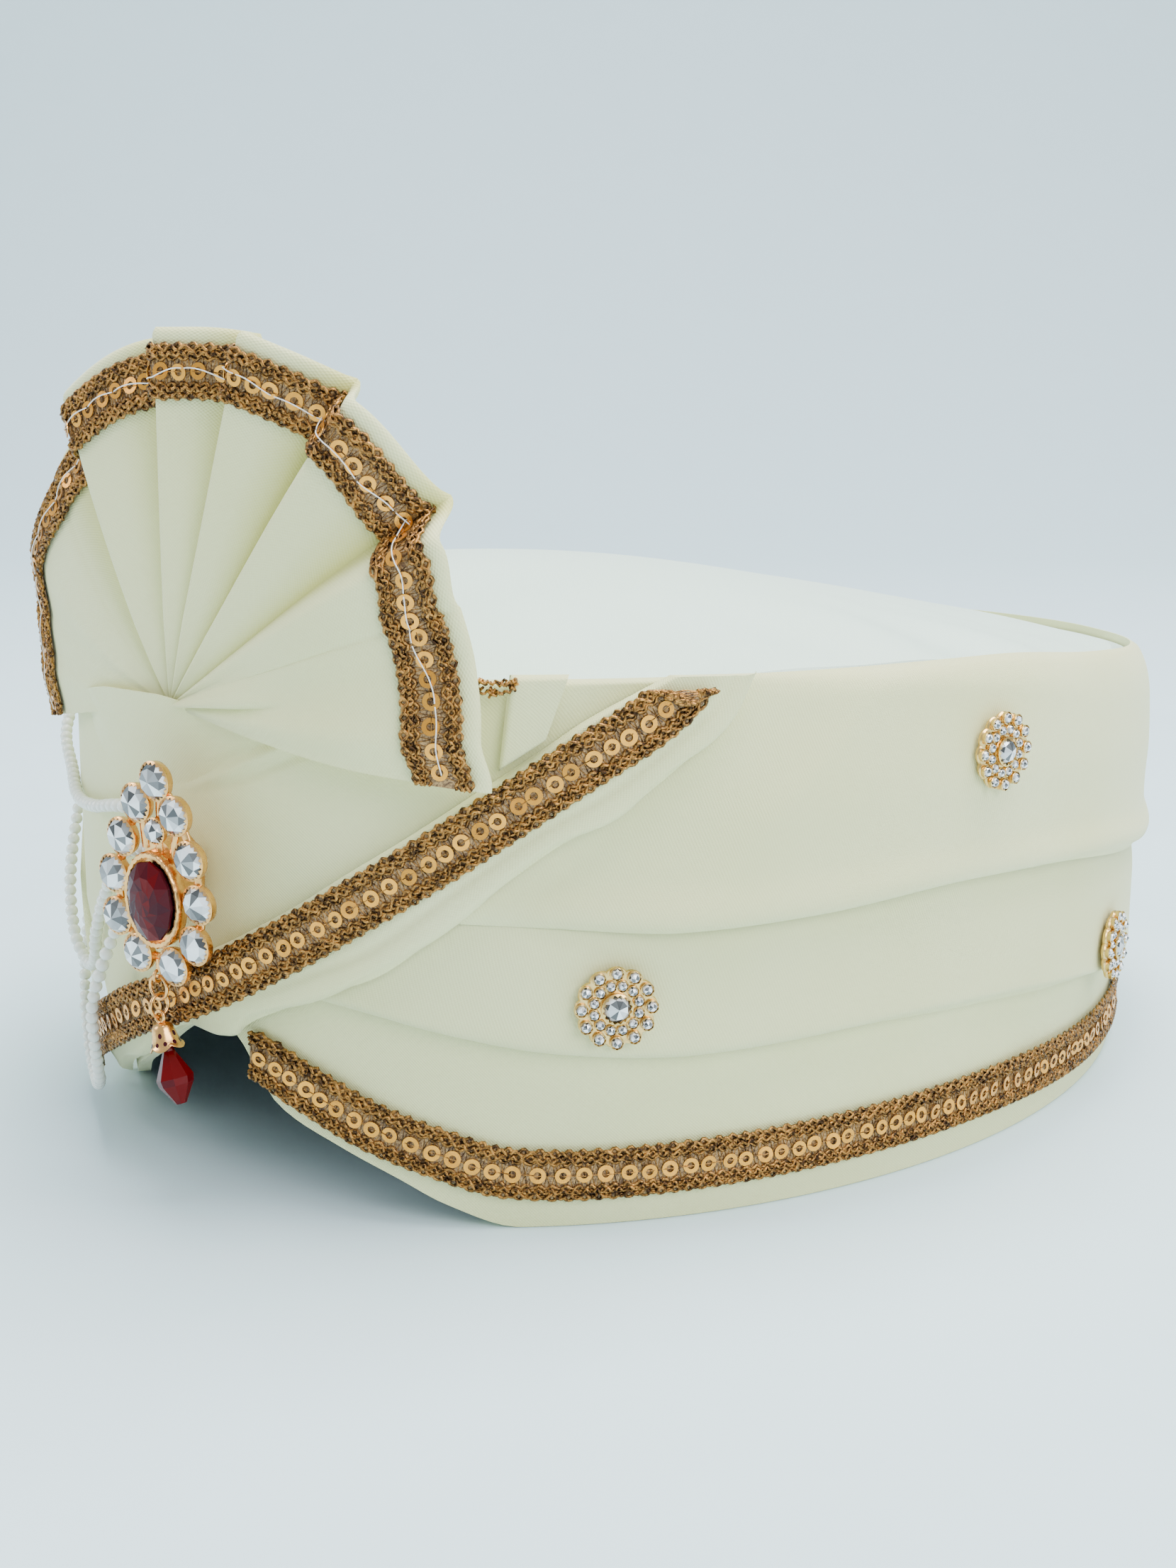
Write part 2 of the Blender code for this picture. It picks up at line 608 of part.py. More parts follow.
def button_mesh():
    """A rhinestone button: a scalloped base, a ring of cut stones and a larger one in the middle."""
    ring = 0.40 * BUTTON_SIZE
    seat = BUTTON_BASE - STONE_SINK

    def base(work):
        prism(work, (0, 0, 0), ((0.40 * BUTTON_SIZE, 0), (0.50 * BUTTON_SIZE, BUTTON_BASE)), BUTTON_STONES)

    def stones(work):
        for i in range(BUTTON_STONES):
            spin = 2 * math.pi * i / BUTTON_STONES
            place = (ring * math.cos(spin), ring * math.sin(spin), seat)
            cut_stone(work, place, 0.155 * BUTTON_SIZE, BUTTON_STONE_DEEP, 7)
        cut_stone(work, (0, 0, seat), 0.36 * BUTTON_SIZE, BUTTON_MIDDLE_DEEP, 8)

    return fused("button", (base, stones))


def band_stand(share, angle):
    """How far the cloth that a button is sewn to stands out."""
    fold = level(UPPER_FOLD_LINE, signed(angle), True)
    on_upper = share > fold
    return LAYER_GAP + (UPPER_FOLD * 1.04 if on_upper else LOWER_FOLD)


def buttons(finish):
    mesh = button_mesh()
    for name, angle, share in BUTTON_SEATS:
        stand = band_stand(share, angle) + SEAT_GAP
        add_object(name, mesh, finish, seat_frame(angle, share * WALL_HEIGHT, stand))


def brooch_cups():
    """The middles of the small cups, clockwise from the top, in the brooch's own plane."""
    right = [(cup.across * BROOCH_HALF, cup.up * BROOCH_HALF) for cup in CUP_PAIRS]
    left = [(-x, y) for x, y in reversed(right)]
    return [(0.0, BROOCH_HALF)] + right + left


def brooch_frame():
    """The brooch's own frame: its head leans out a little from the wall."""
    lean = Matrix.Rotation(math.radians(BROOCH_LEAN), 4, "X")
    return seat_frame(BROOCH_ANGLE, BROOCH_HEIGHT, BROOCH_STAND) @ lean @ Matrix.Rotation(
        math.radians(BROOCH_TURN), 4, "Z")


def hanging_frame():
    """An upright frame whose origin is the middle of the eye under the brooch."""
    eye = brooch_frame() @ Vector((0, eye_height(), PLATE_THICK))
    frame = seat_frame(BROOCH_ANGLE, 0, BROOCH_STAND)
    frame.translation = eye
    return frame


def brooch_setting(finish):
    """Gold frame with its clear stones: cups, the bezel, bridges, the pin pad and the lower eye."""
    cups = brooch_cups()
    middle = (0.0, CENTRE_STONE_UP * BROOCH_HALF)
    stretch = CENTRE_STONE_TALL / CENTRE_STONE_WIDE
    bezel = CENTRE_STONE_WIDE / 2 + BEZEL
    small = (0.0, SMALL_CUP_UP * BROOCH_HALF)
    pad_depth = BROOCH_STAND - SASH_SEAT - SEAT_GAP - PAD_TALL * math.sin(math.radians(BROOCH_LEAN))
    top = PLATE_THICK + CUP_DEPTH

    def outline(work):
        inner, outer = [], []
        centre_y = sum(y for _, y in cups) / len(cups)
        for x, y in cups:
            out = Vector((x, y - centre_y)).normalized() * BRIDGE_HALF
            outer.append((x + out.x, y + out.y))
            inner.append((x - out.x, y - out.y))
        rings = [[work.verts.new((x, y, z)) for x, y in loop]
                 for loop, z in ((outer, 0), (outer, PLATE_THICK), (inner, PLATE_THICK), (inner, 0))]
        for a, b in zip(rings, rings[1:] + rings[:1]):
            for i in range(len(cups)):
                j = (i + 1) % len(cups)
                work.faces.new((a[i], a[j], b[j], b[i]))

    def last_cup(work):
        x, y = cups[-1]
        prism(work, (x, y, 0.14 * CUP_DEPTH), ((0.42 * CUP_SIZE, 0), (0.5 * CUP_SIZE, CUP_DEPTH)), 8)

    def odd_cups(work):
        for x, y in cups[1::2]:
            prism(work, (x, y, 0.1 * CUP_DEPTH), ((0.42 * CUP_SIZE, 0), (0.5 * CUP_SIZE, CUP_DEPTH)), 8)

    def even_cups(work):
        for x, y in cups[0:-1:2]:
            prism(work, (x, y, 0.12 * CUP_DEPTH), ((0.42 * CUP_SIZE, 0), (0.5 * CUP_SIZE, CUP_DEPTH)), 8)

    def small_cup(work):
        prism(work, (*small, 0.16 * CUP_DEPTH), ((0.27 * CUP_SIZE, 0), (0.32 * CUP_SIZE, CUP_DEPTH)), 8)

    def stones(work):
        for x, y in cups:
            cut_stone(work, (x, y, top - CUP_STONE_SINK), 0.84 * CUP_SIZE, CUP_STONE_DEEP, 7)
        cut_stone(work, (*small, top - 0.93 * CUP_STONE_SINK), 0.52 * CUP_SIZE, 0.83 * CUP_STONE_DEEP, 8)

    def bezel_ring(work):
        loops = []
        sides = 16
        for radius, height in ((bezel, 0), (bezel, top), (bezel - BEZEL * 0.9, top),
                               (bezel - BEZEL * 0.9, PLATE_THICK), (0.5 * bezel, PLATE_THICK),
                               (0.5 * bezel, 0)):
            loops.append([work.verts.new((radius * math.cos(2 * math.pi * i / sides),
                                          middle[1] + radius * stretch * math.sin(2 * math.pi * i / sides),
                                          height)) for i in range(sides)])
        for a, b in zip(loops, loops[1:] + loops[:1]):
            for i in range(sides):
                j = (i + 1) % sides
                work.faces.new((a[i], a[j], b[j], b[i]))

    def bar(work, start, end, half, low, high):
        along = (Vector(end) - Vector(start)).normalized()
        side = Vector((-along.y, along.x)) * half
        corners = (Vector(start) + side, Vector(start) - side, Vector(end) - side, Vector(end) + side)
        rings = [[work.verts.new((c.x, c.y, z)) for c in corners] for z in (low, high)]
        work.faces.new(rings[0])
        work.faces.new(rings[1][::-1])
        for i in range(4):
            j = (i + 1) % 4
            work.faces.new((rings[0][i], rings[1][i], rings[1][j], rings[0][j]))

    def side_bridges(work):
        right, left = cups[3], cups[-3]
        bar(work, right, (0.55 * bezel, right[1]), BRIDGE_HALF, BRIDGE_STEP, 0.9 * PLATE_THICK)
        bar(work, left, (-0.55 * bezel, left[1]), BRIDGE_HALF, BRIDGE_STEP, 0.9 * PLATE_THICK)

    def middle_bridge(work):
        bar(work, (0, cups[0][1]), (0, middle[1] + 0.8 * bezel * stretch), BRIDGE_HALF,
            2 * BRIDGE_STEP, 0.8 * PLATE_THICK)

    def pad(work):
        rings = ((PAD_WIDE - PAD_TAPER, 0), (PAD_WIDE, pad_depth + 0.5 * PLATE_THICK))
        prism(work, (0, 0, -pad_depth), rings, 12, 0, PAD_TALL / PAD_WIDE)

    def eye(work):
        ring_at(work, (0, eye_height(), PLATE_THICK), EYE_SIZE, "X", 10)

    def tail(work):
        top = eye_height() + EYE_SIZE / 2
        bar(work, (0, cups[5][1]), (0, top - 0.7 * WIRE), WIRE, 0.3 * PLATE_THICK, 1.3 * PLATE_THICK)

    def eye_bridge(work):
        bar(work, cups[5], cups[6], BRIDGE_HALF, 3 * BRIDGE_STEP, 1.5 * PLATE_THICK)

    mesh = fused("brooch_setting", (outline, odd_cups, even_cups, last_cup, small_cup, bezel_ring,
                                    side_bridges, middle_bridge, pad, eye_bridge, tail, eye, stones))
    return add_object("brooch_setting", mesh, finish, brooch_frame())


def brooch_stone(finish):
    """The large oval red stone, seated in the bezel."""
    work = bmesh.new()
    size = CENTRE_STONE_WIDE - 4 * SEAT_GAP + BEZEL * 0.2
    middle = (0, CENTRE_STONE_UP * BROOCH_HALF, PLATE_THICK + SEAT_GAP)
    stretch = (CENTRE_STONE_TALL - 4 * SEAT_GAP) / CENTRE_STONE_WIDE
    half = size / 2
    prism(work, middle, ((0.8 * half, 0), (half, 0.5 * CENTRE_STONE_DEEP),
                         (0.78 * half, 0.85 * CENTRE_STONE_DEEP), (0.45 * half, CENTRE_STONE_DEEP)),
          16, 0, stretch)
    return add_object("brooch_red_stone", mesh_from_bmesh("brooch_red_stone", work, 10), finish,
                      brooch_frame())


def ring_at(work, centre, size, hole_axis, around, thick=WIRE, sides=6):
    """A wire ring about a centre, whose hole runs along one of its frame's axes."""
    major = (size - thick) / 2
    loops = []
    for i in range(around):
        spin = 2 * math.pi * i / around
        loop = []
        for k in range(sides):
            tilt = 2 * math.pi * k / sides
            reach, side = major + thick / 2 * math.cos(tilt), thick / 2 * math.sin(tilt)
            if hole_axis == "X":
                offset = (side, reach * math.sin(spin), reach * math.cos(spin))
            else:
                offset = (reach * math.cos(spin), reach * math.sin(spin), side)
            loop.append(work.verts.new([c + o for c, o in zip(centre, offset)]))
        loops.append(loop)
    for a, b in zip(loops, loops[1:] + loops[:1]):
        for i in range(sides):
            j = (i + 1) % sides
            work.faces.new((a[i], a[j], b[j], b[i]))


def eye_height():
    """Height of the eye's middle in the brooch's frame."""
    return CUP_PAIRS[-1].up * BROOCH_HALF - BROOCH_TAIL - EYE_SIZE / 2 + WIRE * 0.3


def hanging_heights():
    """Heights of both rings and the drop's own eye below the middle of the brooch's eye."""
    link = 2 * WIRE + SEAT_GAP
    upper = -EYE_SIZE / 2 - RING_SIZE / 2 + link
    lower = upper - RING_SIZE + link
    drop_eye = lower - RING_SIZE / 2 - EYE_SIZE / 2 + link
    return upper, lower, drop_eye


def jump_rings(finish):
    upper, lower, _ = hanging_heights()
    for name, height, hole in (("jump_ring_upper", upper, "Z"), ("jump_ring_lower", lower, "X")):
        work = bmesh.new()
        ring_at(work, (0, height, 0), RING_SIZE, hole, 12)
        add_object(name, mesh_from_bmesh(name, work, 60), finish, hanging_frame())


def drop_frame():
    """The drop's frame: its origin in its eye, hanging along -Y and leaning a little."""
    _, _, drop_eye = hanging_heights()
    lean = Matrix.Rotation(math.radians(DROP_LEAN), 4, "Z")
    return hanging_frame() @ Matrix.Translation((0, drop_eye, 0)) @ lean


def drop_cap(finish):
    """The bell cap over the drop: hollow below, pierced round its skirt, with an eye on top."""
    wide, tall, shell = DROP_CAP_WIDE / 2, DROP_CAP_TALL, DROP_CAP_SHELL
    start = -EYE_SIZE / 2
    sides = 12

    def bell(work):
        outer = ((0.30 * wide, start), (0.62 * wide, start - 0.12 * tall), (0.72 * wide, start - 0.55 * tall),
                 (wide, start - tall))
        inner = ((wide - shell, start - tall), (0.72 * wide - shell, start - 0.56 * tall),
                 (0.5 * wide, start - 0.30 * tall))
        loops = []
        for radius, height in outer + inner:
            loops.append([work.verts.new((radius * math.cos(2 * math.pi * i / sides), height,
                                          radius * math.sin(2 * math.pi * i / sides)))
                          for i in range(sides)])
        for a, b in zip(loops, loops[1:]):
            for i in range(sides):
                j = (i + 1) % sides
                work.faces.new((a[i], a[j], b[j], b[i]))
        work.faces.new(loops[0])
        work.faces.new(loops[-1][::-1])

    def top_eye(work):
        ring_at(work, (0, 0, 0), EYE_SIZE, "Z", 10)

    def stem(work):
        loops = [[work.verts.new((shell * math.cos(2 * math.pi * i / 6), height,
                                  shell * math.sin(2 * math.pi * i / 6))) for i in range(6)]
                 for height in (start + WIRE, start - 0.2 * tall)]
        for i in range(6):
            j = (i + 1) % 6
            work.faces.new((loops[0][i], loops[0][j], loops[1][j], loops[1][i]))
        work.faces.new(loops[0])
        work.faces.new(loops[1][::-1])

    mesh = fused("drop_cap", (bell, stem, top_eye))
    return add_object("drop_cap", mesh, finish, drop_frame())


def drop_stone(finish):
    """The red faceted drop under its cap."""
    half, tall = DROP_STONE_WIDE / 2, DROP_STONE_TALL
    start = -EYE_SIZE / 2 - 0.30 * DROP_CAP_TALL - SEAT_GAP
    neck = 0.72 * DROP_CAP_WIDE / 2 - DROP_CAP_SHELL - 2 * SEAT_GAP
    rings = ((0.55 * neck, start), (0.9 * neck, start - 0.13 * tall), (neck, start - 0.22 * tall),
             (half, start - 0.62 * tall), (0.55 * half, start - 0.90 * tall), (0.25 * half, start - tall))
    sides = 8
    work = bmesh.new()
    loops = [[work.verts.new((radius * math.cos(2 * math.pi * i / sides), height,
                              radius * math.sin(2 * math.pi * i / sides))) for i in range(sides)]
             for radius, height in rings]
    for a, b in zip(loops, loops[1:]):
        for i in range(sides):
            j = (i + 1) % sides
            work.faces.new((a[i], a[j], b[j], b[i]))
    work.faces.new(loops[0])
    work.faces.new(loops[-1][::-1])
    return add_object("drop_stone", mesh_from_bmesh("drop_stone", work, 10), finish, drop_frame())


def through_points(points, count):
    """Evenly numbered points on a smooth curve through a route's own points."""
    padded = [points[0] * 2 - points[1]] + points + [points[-1] * 2 - points[-2]]
    spans = len(points) - 1
    result = []
    for step in range(count):
        place = spans * step / (count - 1)
        span = min(int(place), spans - 1)
        t = place - span
        a, b, c, d = padded[span:span + 4]
        result.append(0.5 * (b * 2 + (c - a) * t + (a * 2 - b * 5 + c * 4 - d) * t ** 2
                             + (b * 3 - a - c * 3 + d) * t ** 3))
    return result


def pearl_strings(finish):
    for name, route in BEAD_ROUTES:
        points = [wall(p.angle, p.share * WALL_HEIGHT, p.stand * BEAD_STAND) for p in route]
        curve = bpy.data.curves.new(name, "CURVE")
        curve.dimensions = "3D"
        curve.bevel_depth = BEAD_SIZE / 2
        curve.bevel_resolution = 2
        curve.use_fill_caps = True
        line = curve.splines.new("POLY")
        length = sum((b - a).length for a, b in zip(points, points[1:]))
        count = round(length / (BEAD_ROUTE_STEP * BEAD_SIZE)) + 1
        line.points.add(count - 1)
        for spot, point in zip(line.points, through_points(points, count)):
            spot.co = (*point, 1.0)
        curve.materials.append(finish)
        piece = bpy.data.objects.new(name, curve)
        bpy.context.scene.collection.objects.link(piece)


def string_catch(finish):
    """The small bar on the far side that holds the ends of the three bead strings."""
    ends = [route[-1] for _, route in BEAD_ROUTES]
    low = min(p.share for p in ends) * WALL_HEIGHT - BEAD_SIZE
    high = max(p.share for p in ends) * WALL_HEIGHT + BEAD_SIZE
    gap = (SEAT_GAP + BEAD_SIZE / 2) / arc_per_degree(58)
    near = min(p.angle for p in ends) - gap
    seat = SASH_SEAT + SASH_CLOTH + SEAT_GAP
    stations = []
    for i in range(3):
        angle = near - 1.1 * i
        stations.append((angle, low, angle, high, seat, seat, 1.0))
    return wrapped("string_catch", stations, FLAT_FOLDS, BEAD_SIZE, finish)


def centre_over_origin():
    """Move every piece alike, so that the middle of the hat's whole box stands over the origin."""
    graph = bpy.context.evaluated_depsgraph_get()
    places = []
    for piece in bpy.data.objects:
        seen = piece.evaluated_get(graph)
        places += [seen.matrix_world @ vertex.co for vertex in seen.to_mesh().vertices]
        seen.to_mesh_clear()
    middle = [(min(p[i] for p in places) + max(p[i] for p in places)) / 2 for i in range(2)]
    for piece in bpy.data.objects:
        piece.matrix_world = Matrix.Translation((-middle[0], -middle[1], 0)) @ piece.matrix_world


def main():
    clear_scene()
    cloth = material("ivory_cloth", (0.86, 0.86, 0.74), 0.62)
    crown = material("crown_cloth", (0.88, 0.90, 0.84), 0.55)
    gold_braid = material("gold_braid", (0.42, 0.27, 0.12), 0.40, 0.6)
    gold = material("gold_metal", (0.83, 0.52, 0.24), 0.25, 1.0)
    crystal = material("button_crystal", (0.80, 0.80, 0.78), 0.12, 0.5)
    ruby = material("red_stone", (0.30, 0.01, 0.02), 0.08, 0.0, 0.3)
    pearl = material("pearl", (0.87, 0.88, 0.80), 0.30)
    cap_shell(crown)
    lower_band(cloth)
    upper_band(cloth)
    front_panel(cloth)
    front_sash(cloth)
    far_sash(cloth)
    tuck_strip(cloth)
    braid("rim_braid", RIM_BRAID, 10.0, 316.0, BRAID_STATIONS, LAYER_GAP, gold_braid)
    braid("sash_braid", SASH_BRAID, -36.0, 49.5, 30, SASH_SEAT + SASH_CLOTH + LAYER_GAP, gold_braid)
    fan(cloth)
    fan_braid(gold_braid)
    fan_knot(cloth)
    buttons(crystal)
    brooch_setting(gold)
    brooch_stone(ruby)
    jump_rings(gold)
    drop_cap(gold)
    drop_stone(ruby)
    pearl_strings(pearl)
    string_catch(gold)
    centre_over_origin()


main()
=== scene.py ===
"""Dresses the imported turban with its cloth, lace, buttons, brooch and beads, on a pale floor.

Places on the wall are given by an angle from the front centre, positive towards +X, by a height, and
by how far a face stands out from the oval of the rim.
"""
import math
import random
from bisect import bisect_right
from collections import namedtuple

import bmesh
import bpy
from bpy.props import FloatProperty, FloatVectorProperty, IntProperty, PointerProperty
from mathutils import Matrix, Vector


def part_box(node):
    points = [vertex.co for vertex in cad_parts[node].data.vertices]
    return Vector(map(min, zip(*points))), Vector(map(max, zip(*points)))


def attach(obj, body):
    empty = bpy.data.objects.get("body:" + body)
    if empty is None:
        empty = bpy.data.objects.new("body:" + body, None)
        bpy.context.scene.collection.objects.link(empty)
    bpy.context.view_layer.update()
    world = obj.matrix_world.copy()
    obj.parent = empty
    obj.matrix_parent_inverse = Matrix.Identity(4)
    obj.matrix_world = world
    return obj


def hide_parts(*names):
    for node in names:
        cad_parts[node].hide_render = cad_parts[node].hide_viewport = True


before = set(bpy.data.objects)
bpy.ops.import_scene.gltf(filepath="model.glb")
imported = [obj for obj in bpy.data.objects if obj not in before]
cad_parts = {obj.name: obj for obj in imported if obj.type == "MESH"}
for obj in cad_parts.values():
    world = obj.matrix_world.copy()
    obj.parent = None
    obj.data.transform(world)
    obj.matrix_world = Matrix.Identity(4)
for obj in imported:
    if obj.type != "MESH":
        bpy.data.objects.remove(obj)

bl_info = {
    "name": "Tied Turban",
    "version": (1, 0, 0),
    "blender": (4, 5, 0),
    "location": "View3D > Sidebar > Turban",
    "description": "Makes the cloth, lace, stones and beads of a ready-tied turban",
    "category": "Add Mesh",
}

MM = 0.001

# Sizes of the cap and its wraps, in metres
RIM_HALF_WIDTH = 0.0920
RIM_HALF_LENGTH = 0.1187
WALL_HEIGHT = 0.0920
CAP_WALL = 0.0025
CROWN_RISE = 0.0110
CROWN_DROP = 0.0018
ARCH_RISE = 0.0294
FRONT_TUCK = 0.0068
CLOTH = 0.0018
LAYER_GAP = 0.0006
SEAT_GAP = 0.0003
LOWER_FOLD = 0.0028
UPPER_FOLD = 0.0049
FOLD_OVERLAP = 0.0050
SASH_CLOTH = 0.0022
PANEL_SEAT = 0.0009
SASH_SEAT = PANEL_SEAT + CLOTH + LAYER_GAP
END_THIN = 0.0012
BRAID_WIDTH = 0.0092
BRAID_THICK = 0.0010
FAN_RADIUS = 0.0640
FAN_CLOTH = 0.0014
FAN_ANGLE = 2.4
FAN_HEIGHT = 0.0865
FAN_HEM = 0.0024
FAN_LEAN = 0.0050
FAN_FAR_STAND = 0.0035
PLEAT_DEPTH = 0.0060

# Sizes of the ornaments, in metres and degrees
BUTTON_SIZE = 0.0140
BROOCH_ANGLE = 4.3
BROOCH_HEIGHT = 0.0580
BROOCH_STAND = 0.0098
BROOCH_TURN = -7.0
BROOCH_LEAN = 4.0
BROOCH_TAIL = 0.0020
BROOCH_HALF = 0.0181
CUP_SIZE = 0.0069
CUP_DEPTH = 0.0016
PLATE_THICK = 0.0011
CENTRE_STONE_WIDE = 0.0114
CENTRE_STONE_TALL = 0.0150
CENTRE_STONE_DEEP = 0.0032
BEZEL = 0.0007
WIRE = 0.0006
RING_SIZE = 0.0046
EYE_SIZE = 0.0026
DROP_CAP_WIDE = 0.0056
DROP_CAP_TALL = 0.0048
DROP_CAP_SHELL = 0.0005
DROP_STONE_WIDE = 0.0064
DROP_STONE_TALL = 0.0120
DROP_LEAN = 17.0
BEAD_SIZE = 0.0024
BEAD_STAND = 0.0080
PETAL_TURN = math.radians(62)

FULL_TURN = 2 * math.pi
MAP_PER_DEGREE = 0.0018
# Painted reflections: the light levels that a clear stone's facets are picked from.
PAINTED_FACET_LIGHT = (0.02, 0.10, 0.30, 0.60, 0.95, 1.0)

# The lace: where it starts and ends in degrees, and its yarns in metres
RIM_LACE_SPAN = (10.0, 316.0)
SASH_LACE_SPAN = (-36.0, 53.4)
SASH_LACE_BARE = 0.0085
YARN_STEP = 0.00046
NET_RUNG = 0.00125
NET_THREAD = 0.00010
SEQUIN_THREAD = 0.00011
SEQUIN_LIFT = 0.00062

# Height of the brooch's small stone above its middle
SMALL_STONE_HEIGHT = 0.52 * BROOCH_HALF

# The photograph's camera, in degrees, metres and pixels
CAMERA_ROUND = 42.4
CAMERA_RISE = 12.1
CAMERA_DISTANCE = 0.4692
CAMERA_FOCAL = 3150.0
CAMERA_ASIDE = -0.01012
CAMERA_LOOK_HEIGHT = 0.05318
PHOTO_TALL = 2212
SENSOR = 36.0

# The floor's sizes in metres
FLOOR_FRONT = -1.6
FLOOR_BACK = 0.9
FLOOR_BEND = 0.9
FLOOR_TOP = 3.0
FLOOR_HALF = 2.6
FLOOR_DROP = 0.0001

# Tables. Angles are degrees from the front centre, heights and stands are shares of a named size
Level = namedtuple("Level", "angle share")
Crossing = namedtuple("Crossing", "low_angle low high_angle high seat")
Pleat = namedtuple("Pleat", "spread depth reach")
RoutePoint = namedtuple("RoutePoint", "angle share stand")
Strand = namedtuple("Strand", "inset sway length phase lift")

TOP_EDGE = (Level(0, 1.015), Level(35, 1.015), Level(70, 1.005), Level(85, 0.995), Level(102, 0.955),
            Level(125, 0.905), Level(150, 0.870), Level(180, 0.855))
LOWER_FOLD_LINE = (Level(10, 0.435), Level(18, 0.420), Level(31, 0.374), Level(42, 0.340),
                   Level(55, 0.320), Level(70, 0.318), Level(84, 0.300), Level(97, 0.268),
                   Level(115, 0.225), Level(180, 0.190))
UPPER_FOLD_LINE = (Level(25, 0.585), Level(41, 0.573), Level(51, 0.563), Level(64, 0.572),
                   Level(77, 0.583), Level(93, 0.555), Level(118, 0.480), Level(180, 0.430))
ARCH = (Level(-40, 0), Level(-33, 0.12), Level(-20, 0.42), Level(-9.8, 0.66), Level(0.4, 0.99),
        Level(5.5, 1.10), Level(7.8, 1.02), Level(13, 0.64), Level(20, 0.44), Level(26, 0.28),
        Level(31, 0.13), Level(38, 0))
RIM_BRAID = (Level(10, 0.296), Level(16, 0.254), Level(23.4, 0.190), Level(30.3, 0.144),
             Level(37, 0.108), Level(44, 0.100), Level(84, 0.108), Level(110, 0.095),
             Level(180, 0.092), Level(318, 0.100))
SASH_BRAID = (Level(-38, 0.085), Level(-25, 0.180), Level(-11, 0.285), Level(-5.3, 0.335),
              Level(6.8, 0.430), Level(16, 0.523), Level(24, 0.618), Level(31, 0.705),
              Level(37.7, 0.795), Level(44, 0.880), Level(49, 0.945), Level(51.5, 0.990),
              Level(53.5, 1.050))
SASH_ROWS = (Crossing(-40, 0.004, -39, 0.155, 0.3), Crossing(-33, 0.040, -32, 0.205, 0.3),
             Crossing(-20, 0.140, -19, 0.285, 0.3), Crossing(-10, 0.215, -10, 0.350, 0.3),
             Crossing(0, 0.318, -2, 0.415, 0.3), Crossing(8, 0.335, 4, 0.470, 0.4),
             Crossing(12, 0.375, 10, 0.525, 0.7), Crossing(19.7, 0.440, 17, 0.600, 1.0),
             Crossing(26, 0.490, 22.5, 0.668, 1.0), Crossing(33.5, 0.603, 28, 0.735, 1.0),
             Crossing(41, 0.715, 34.5, 0.820, 1.0), Crossing(47.3, 0.785, 40, 0.893, 1.0),
             Crossing(51.5, 0.850, 43.8, 0.945, 1.0), Crossing(56.5, 0.940, 48, 0.990, 1.0),
             Crossing(58.5, 1.015, 51, 1.020, 1.0))
FAR_SASH_ROWS = (Crossing(-43, 0.185, -30, 0.262, 1.0), Crossing(-46, 0.300, -34, 0.390, 1.0),
                 Crossing(-52, 0.520, -40, 0.610, 1.0), Crossing(-58, 0.740, -46, 0.830, 1.0),
                 Crossing(-64, 0.995, -53, 1.010, 1.0))
PLEATS = (Pleat(-100, 0.05, 0.82), Pleat(-87, 0.35, 0.82), Pleat(-77, 0.50, 0.86), Pleat(-67, 0.70, 0.94),
          Pleat(-50, 0.35, 0.88), Pleat(-32, -0.20, 0.87), Pleat(-29, 1.0, 0.905), Pleat(-2, -0.20, 0.94),
          Pleat(1, 0.95, 0.964), Pleat(15.8, -0.15, 0.985), Pleat(18.6, 0.95, 1.008),
          Pleat(34.0, -0.20, 1.018), Pleat(40.0, 0.95, 1.035), Pleat(55.0, -0.10, 0.992),
          Pleat(62.0, 1.05, 0.990), Pleat(71, 0.62, 0.945), Pleat(80.4, 0.40, 0.934), Pleat(91, 0.35, 0.935),
          Pleat(99, 0.20, 0.96))
FAN_RIDGES = (3, 6, 8, 10, 12, 14)
BUTTON_SEATS = (("button_left_front", 46.4, 0.429), ("button_left_top", 82.8, 0.824),
                ("button_left_back", 108.1, 0.304), ("button_right_front", -64.0, 0.440),
                ("button_right_top", -84.0, 0.824), ("button_right_back", -108.1, 0.304))
CUP_PLACES = ((0.25, 0.73), (0.44, 0.35), (0.555, -0.045), (0.51, -0.46), (0.235, -0.75))
BEAD_ROUTES = (
    ("pearl_string_upper",
     (RoutePoint(-1.2, 0.740, 0.60), RoutePoint(-7, 0.730, 0.62), RoutePoint(-14, 0.705, 0.56),
      RoutePoint(-22, 0.695, 0.52), RoutePoint(-30, 0.720, 0.54), RoutePoint(-37, 0.770, 0.80),
      RoutePoint(-44, 0.830, 0.86), RoutePoint(-51, 0.885, 0.86), RoutePoint(-56.5, 0.925, 0.86))),
    ("pearl_string_middle",
     (RoutePoint(-1.2, 0.665, 0.60), RoutePoint(-6, 0.640, 0.62), RoutePoint(-11, 0.550, 0.56),
      RoutePoint(-16, 0.445, 0.52), RoutePoint(-21, 0.355, 0.54), RoutePoint(-26, 0.330, 0.66),
      RoutePoint(-31, 0.370, 0.84), RoutePoint(-37, 0.475, 0.86), RoutePoint(-44, 0.620, 0.86),
      RoutePoint(-51, 0.765, 0.86), RoutePoint(-57, 0.878, 0.86))),
    ("pearl_string_lower",
     (RoutePoint(-1.2, 0.590, 0.60), RoutePoint(-5, 0.560, 0.62), RoutePoint(-8.5, 0.475, 0.66),
      RoutePoint(-10.5, 0.395, 0.92), RoutePoint(-12.5, 0.310, 1.12), RoutePoint(-15, 0.210, 1.10),
      RoutePoint(-19, 0.120, 1.04), RoutePoint(-25, 0.075, 1.04), RoutePoint(-32, 0.095, 1.04),
      RoutePoint(-38, 0.180, 1.02), RoutePoint(-43, 0.300, 0.96), RoutePoint(-48, 0.460, 0.90),
      RoutePoint(-53, 0.640, 0.88), RoutePoint(-58, 0.830, 0.86))))

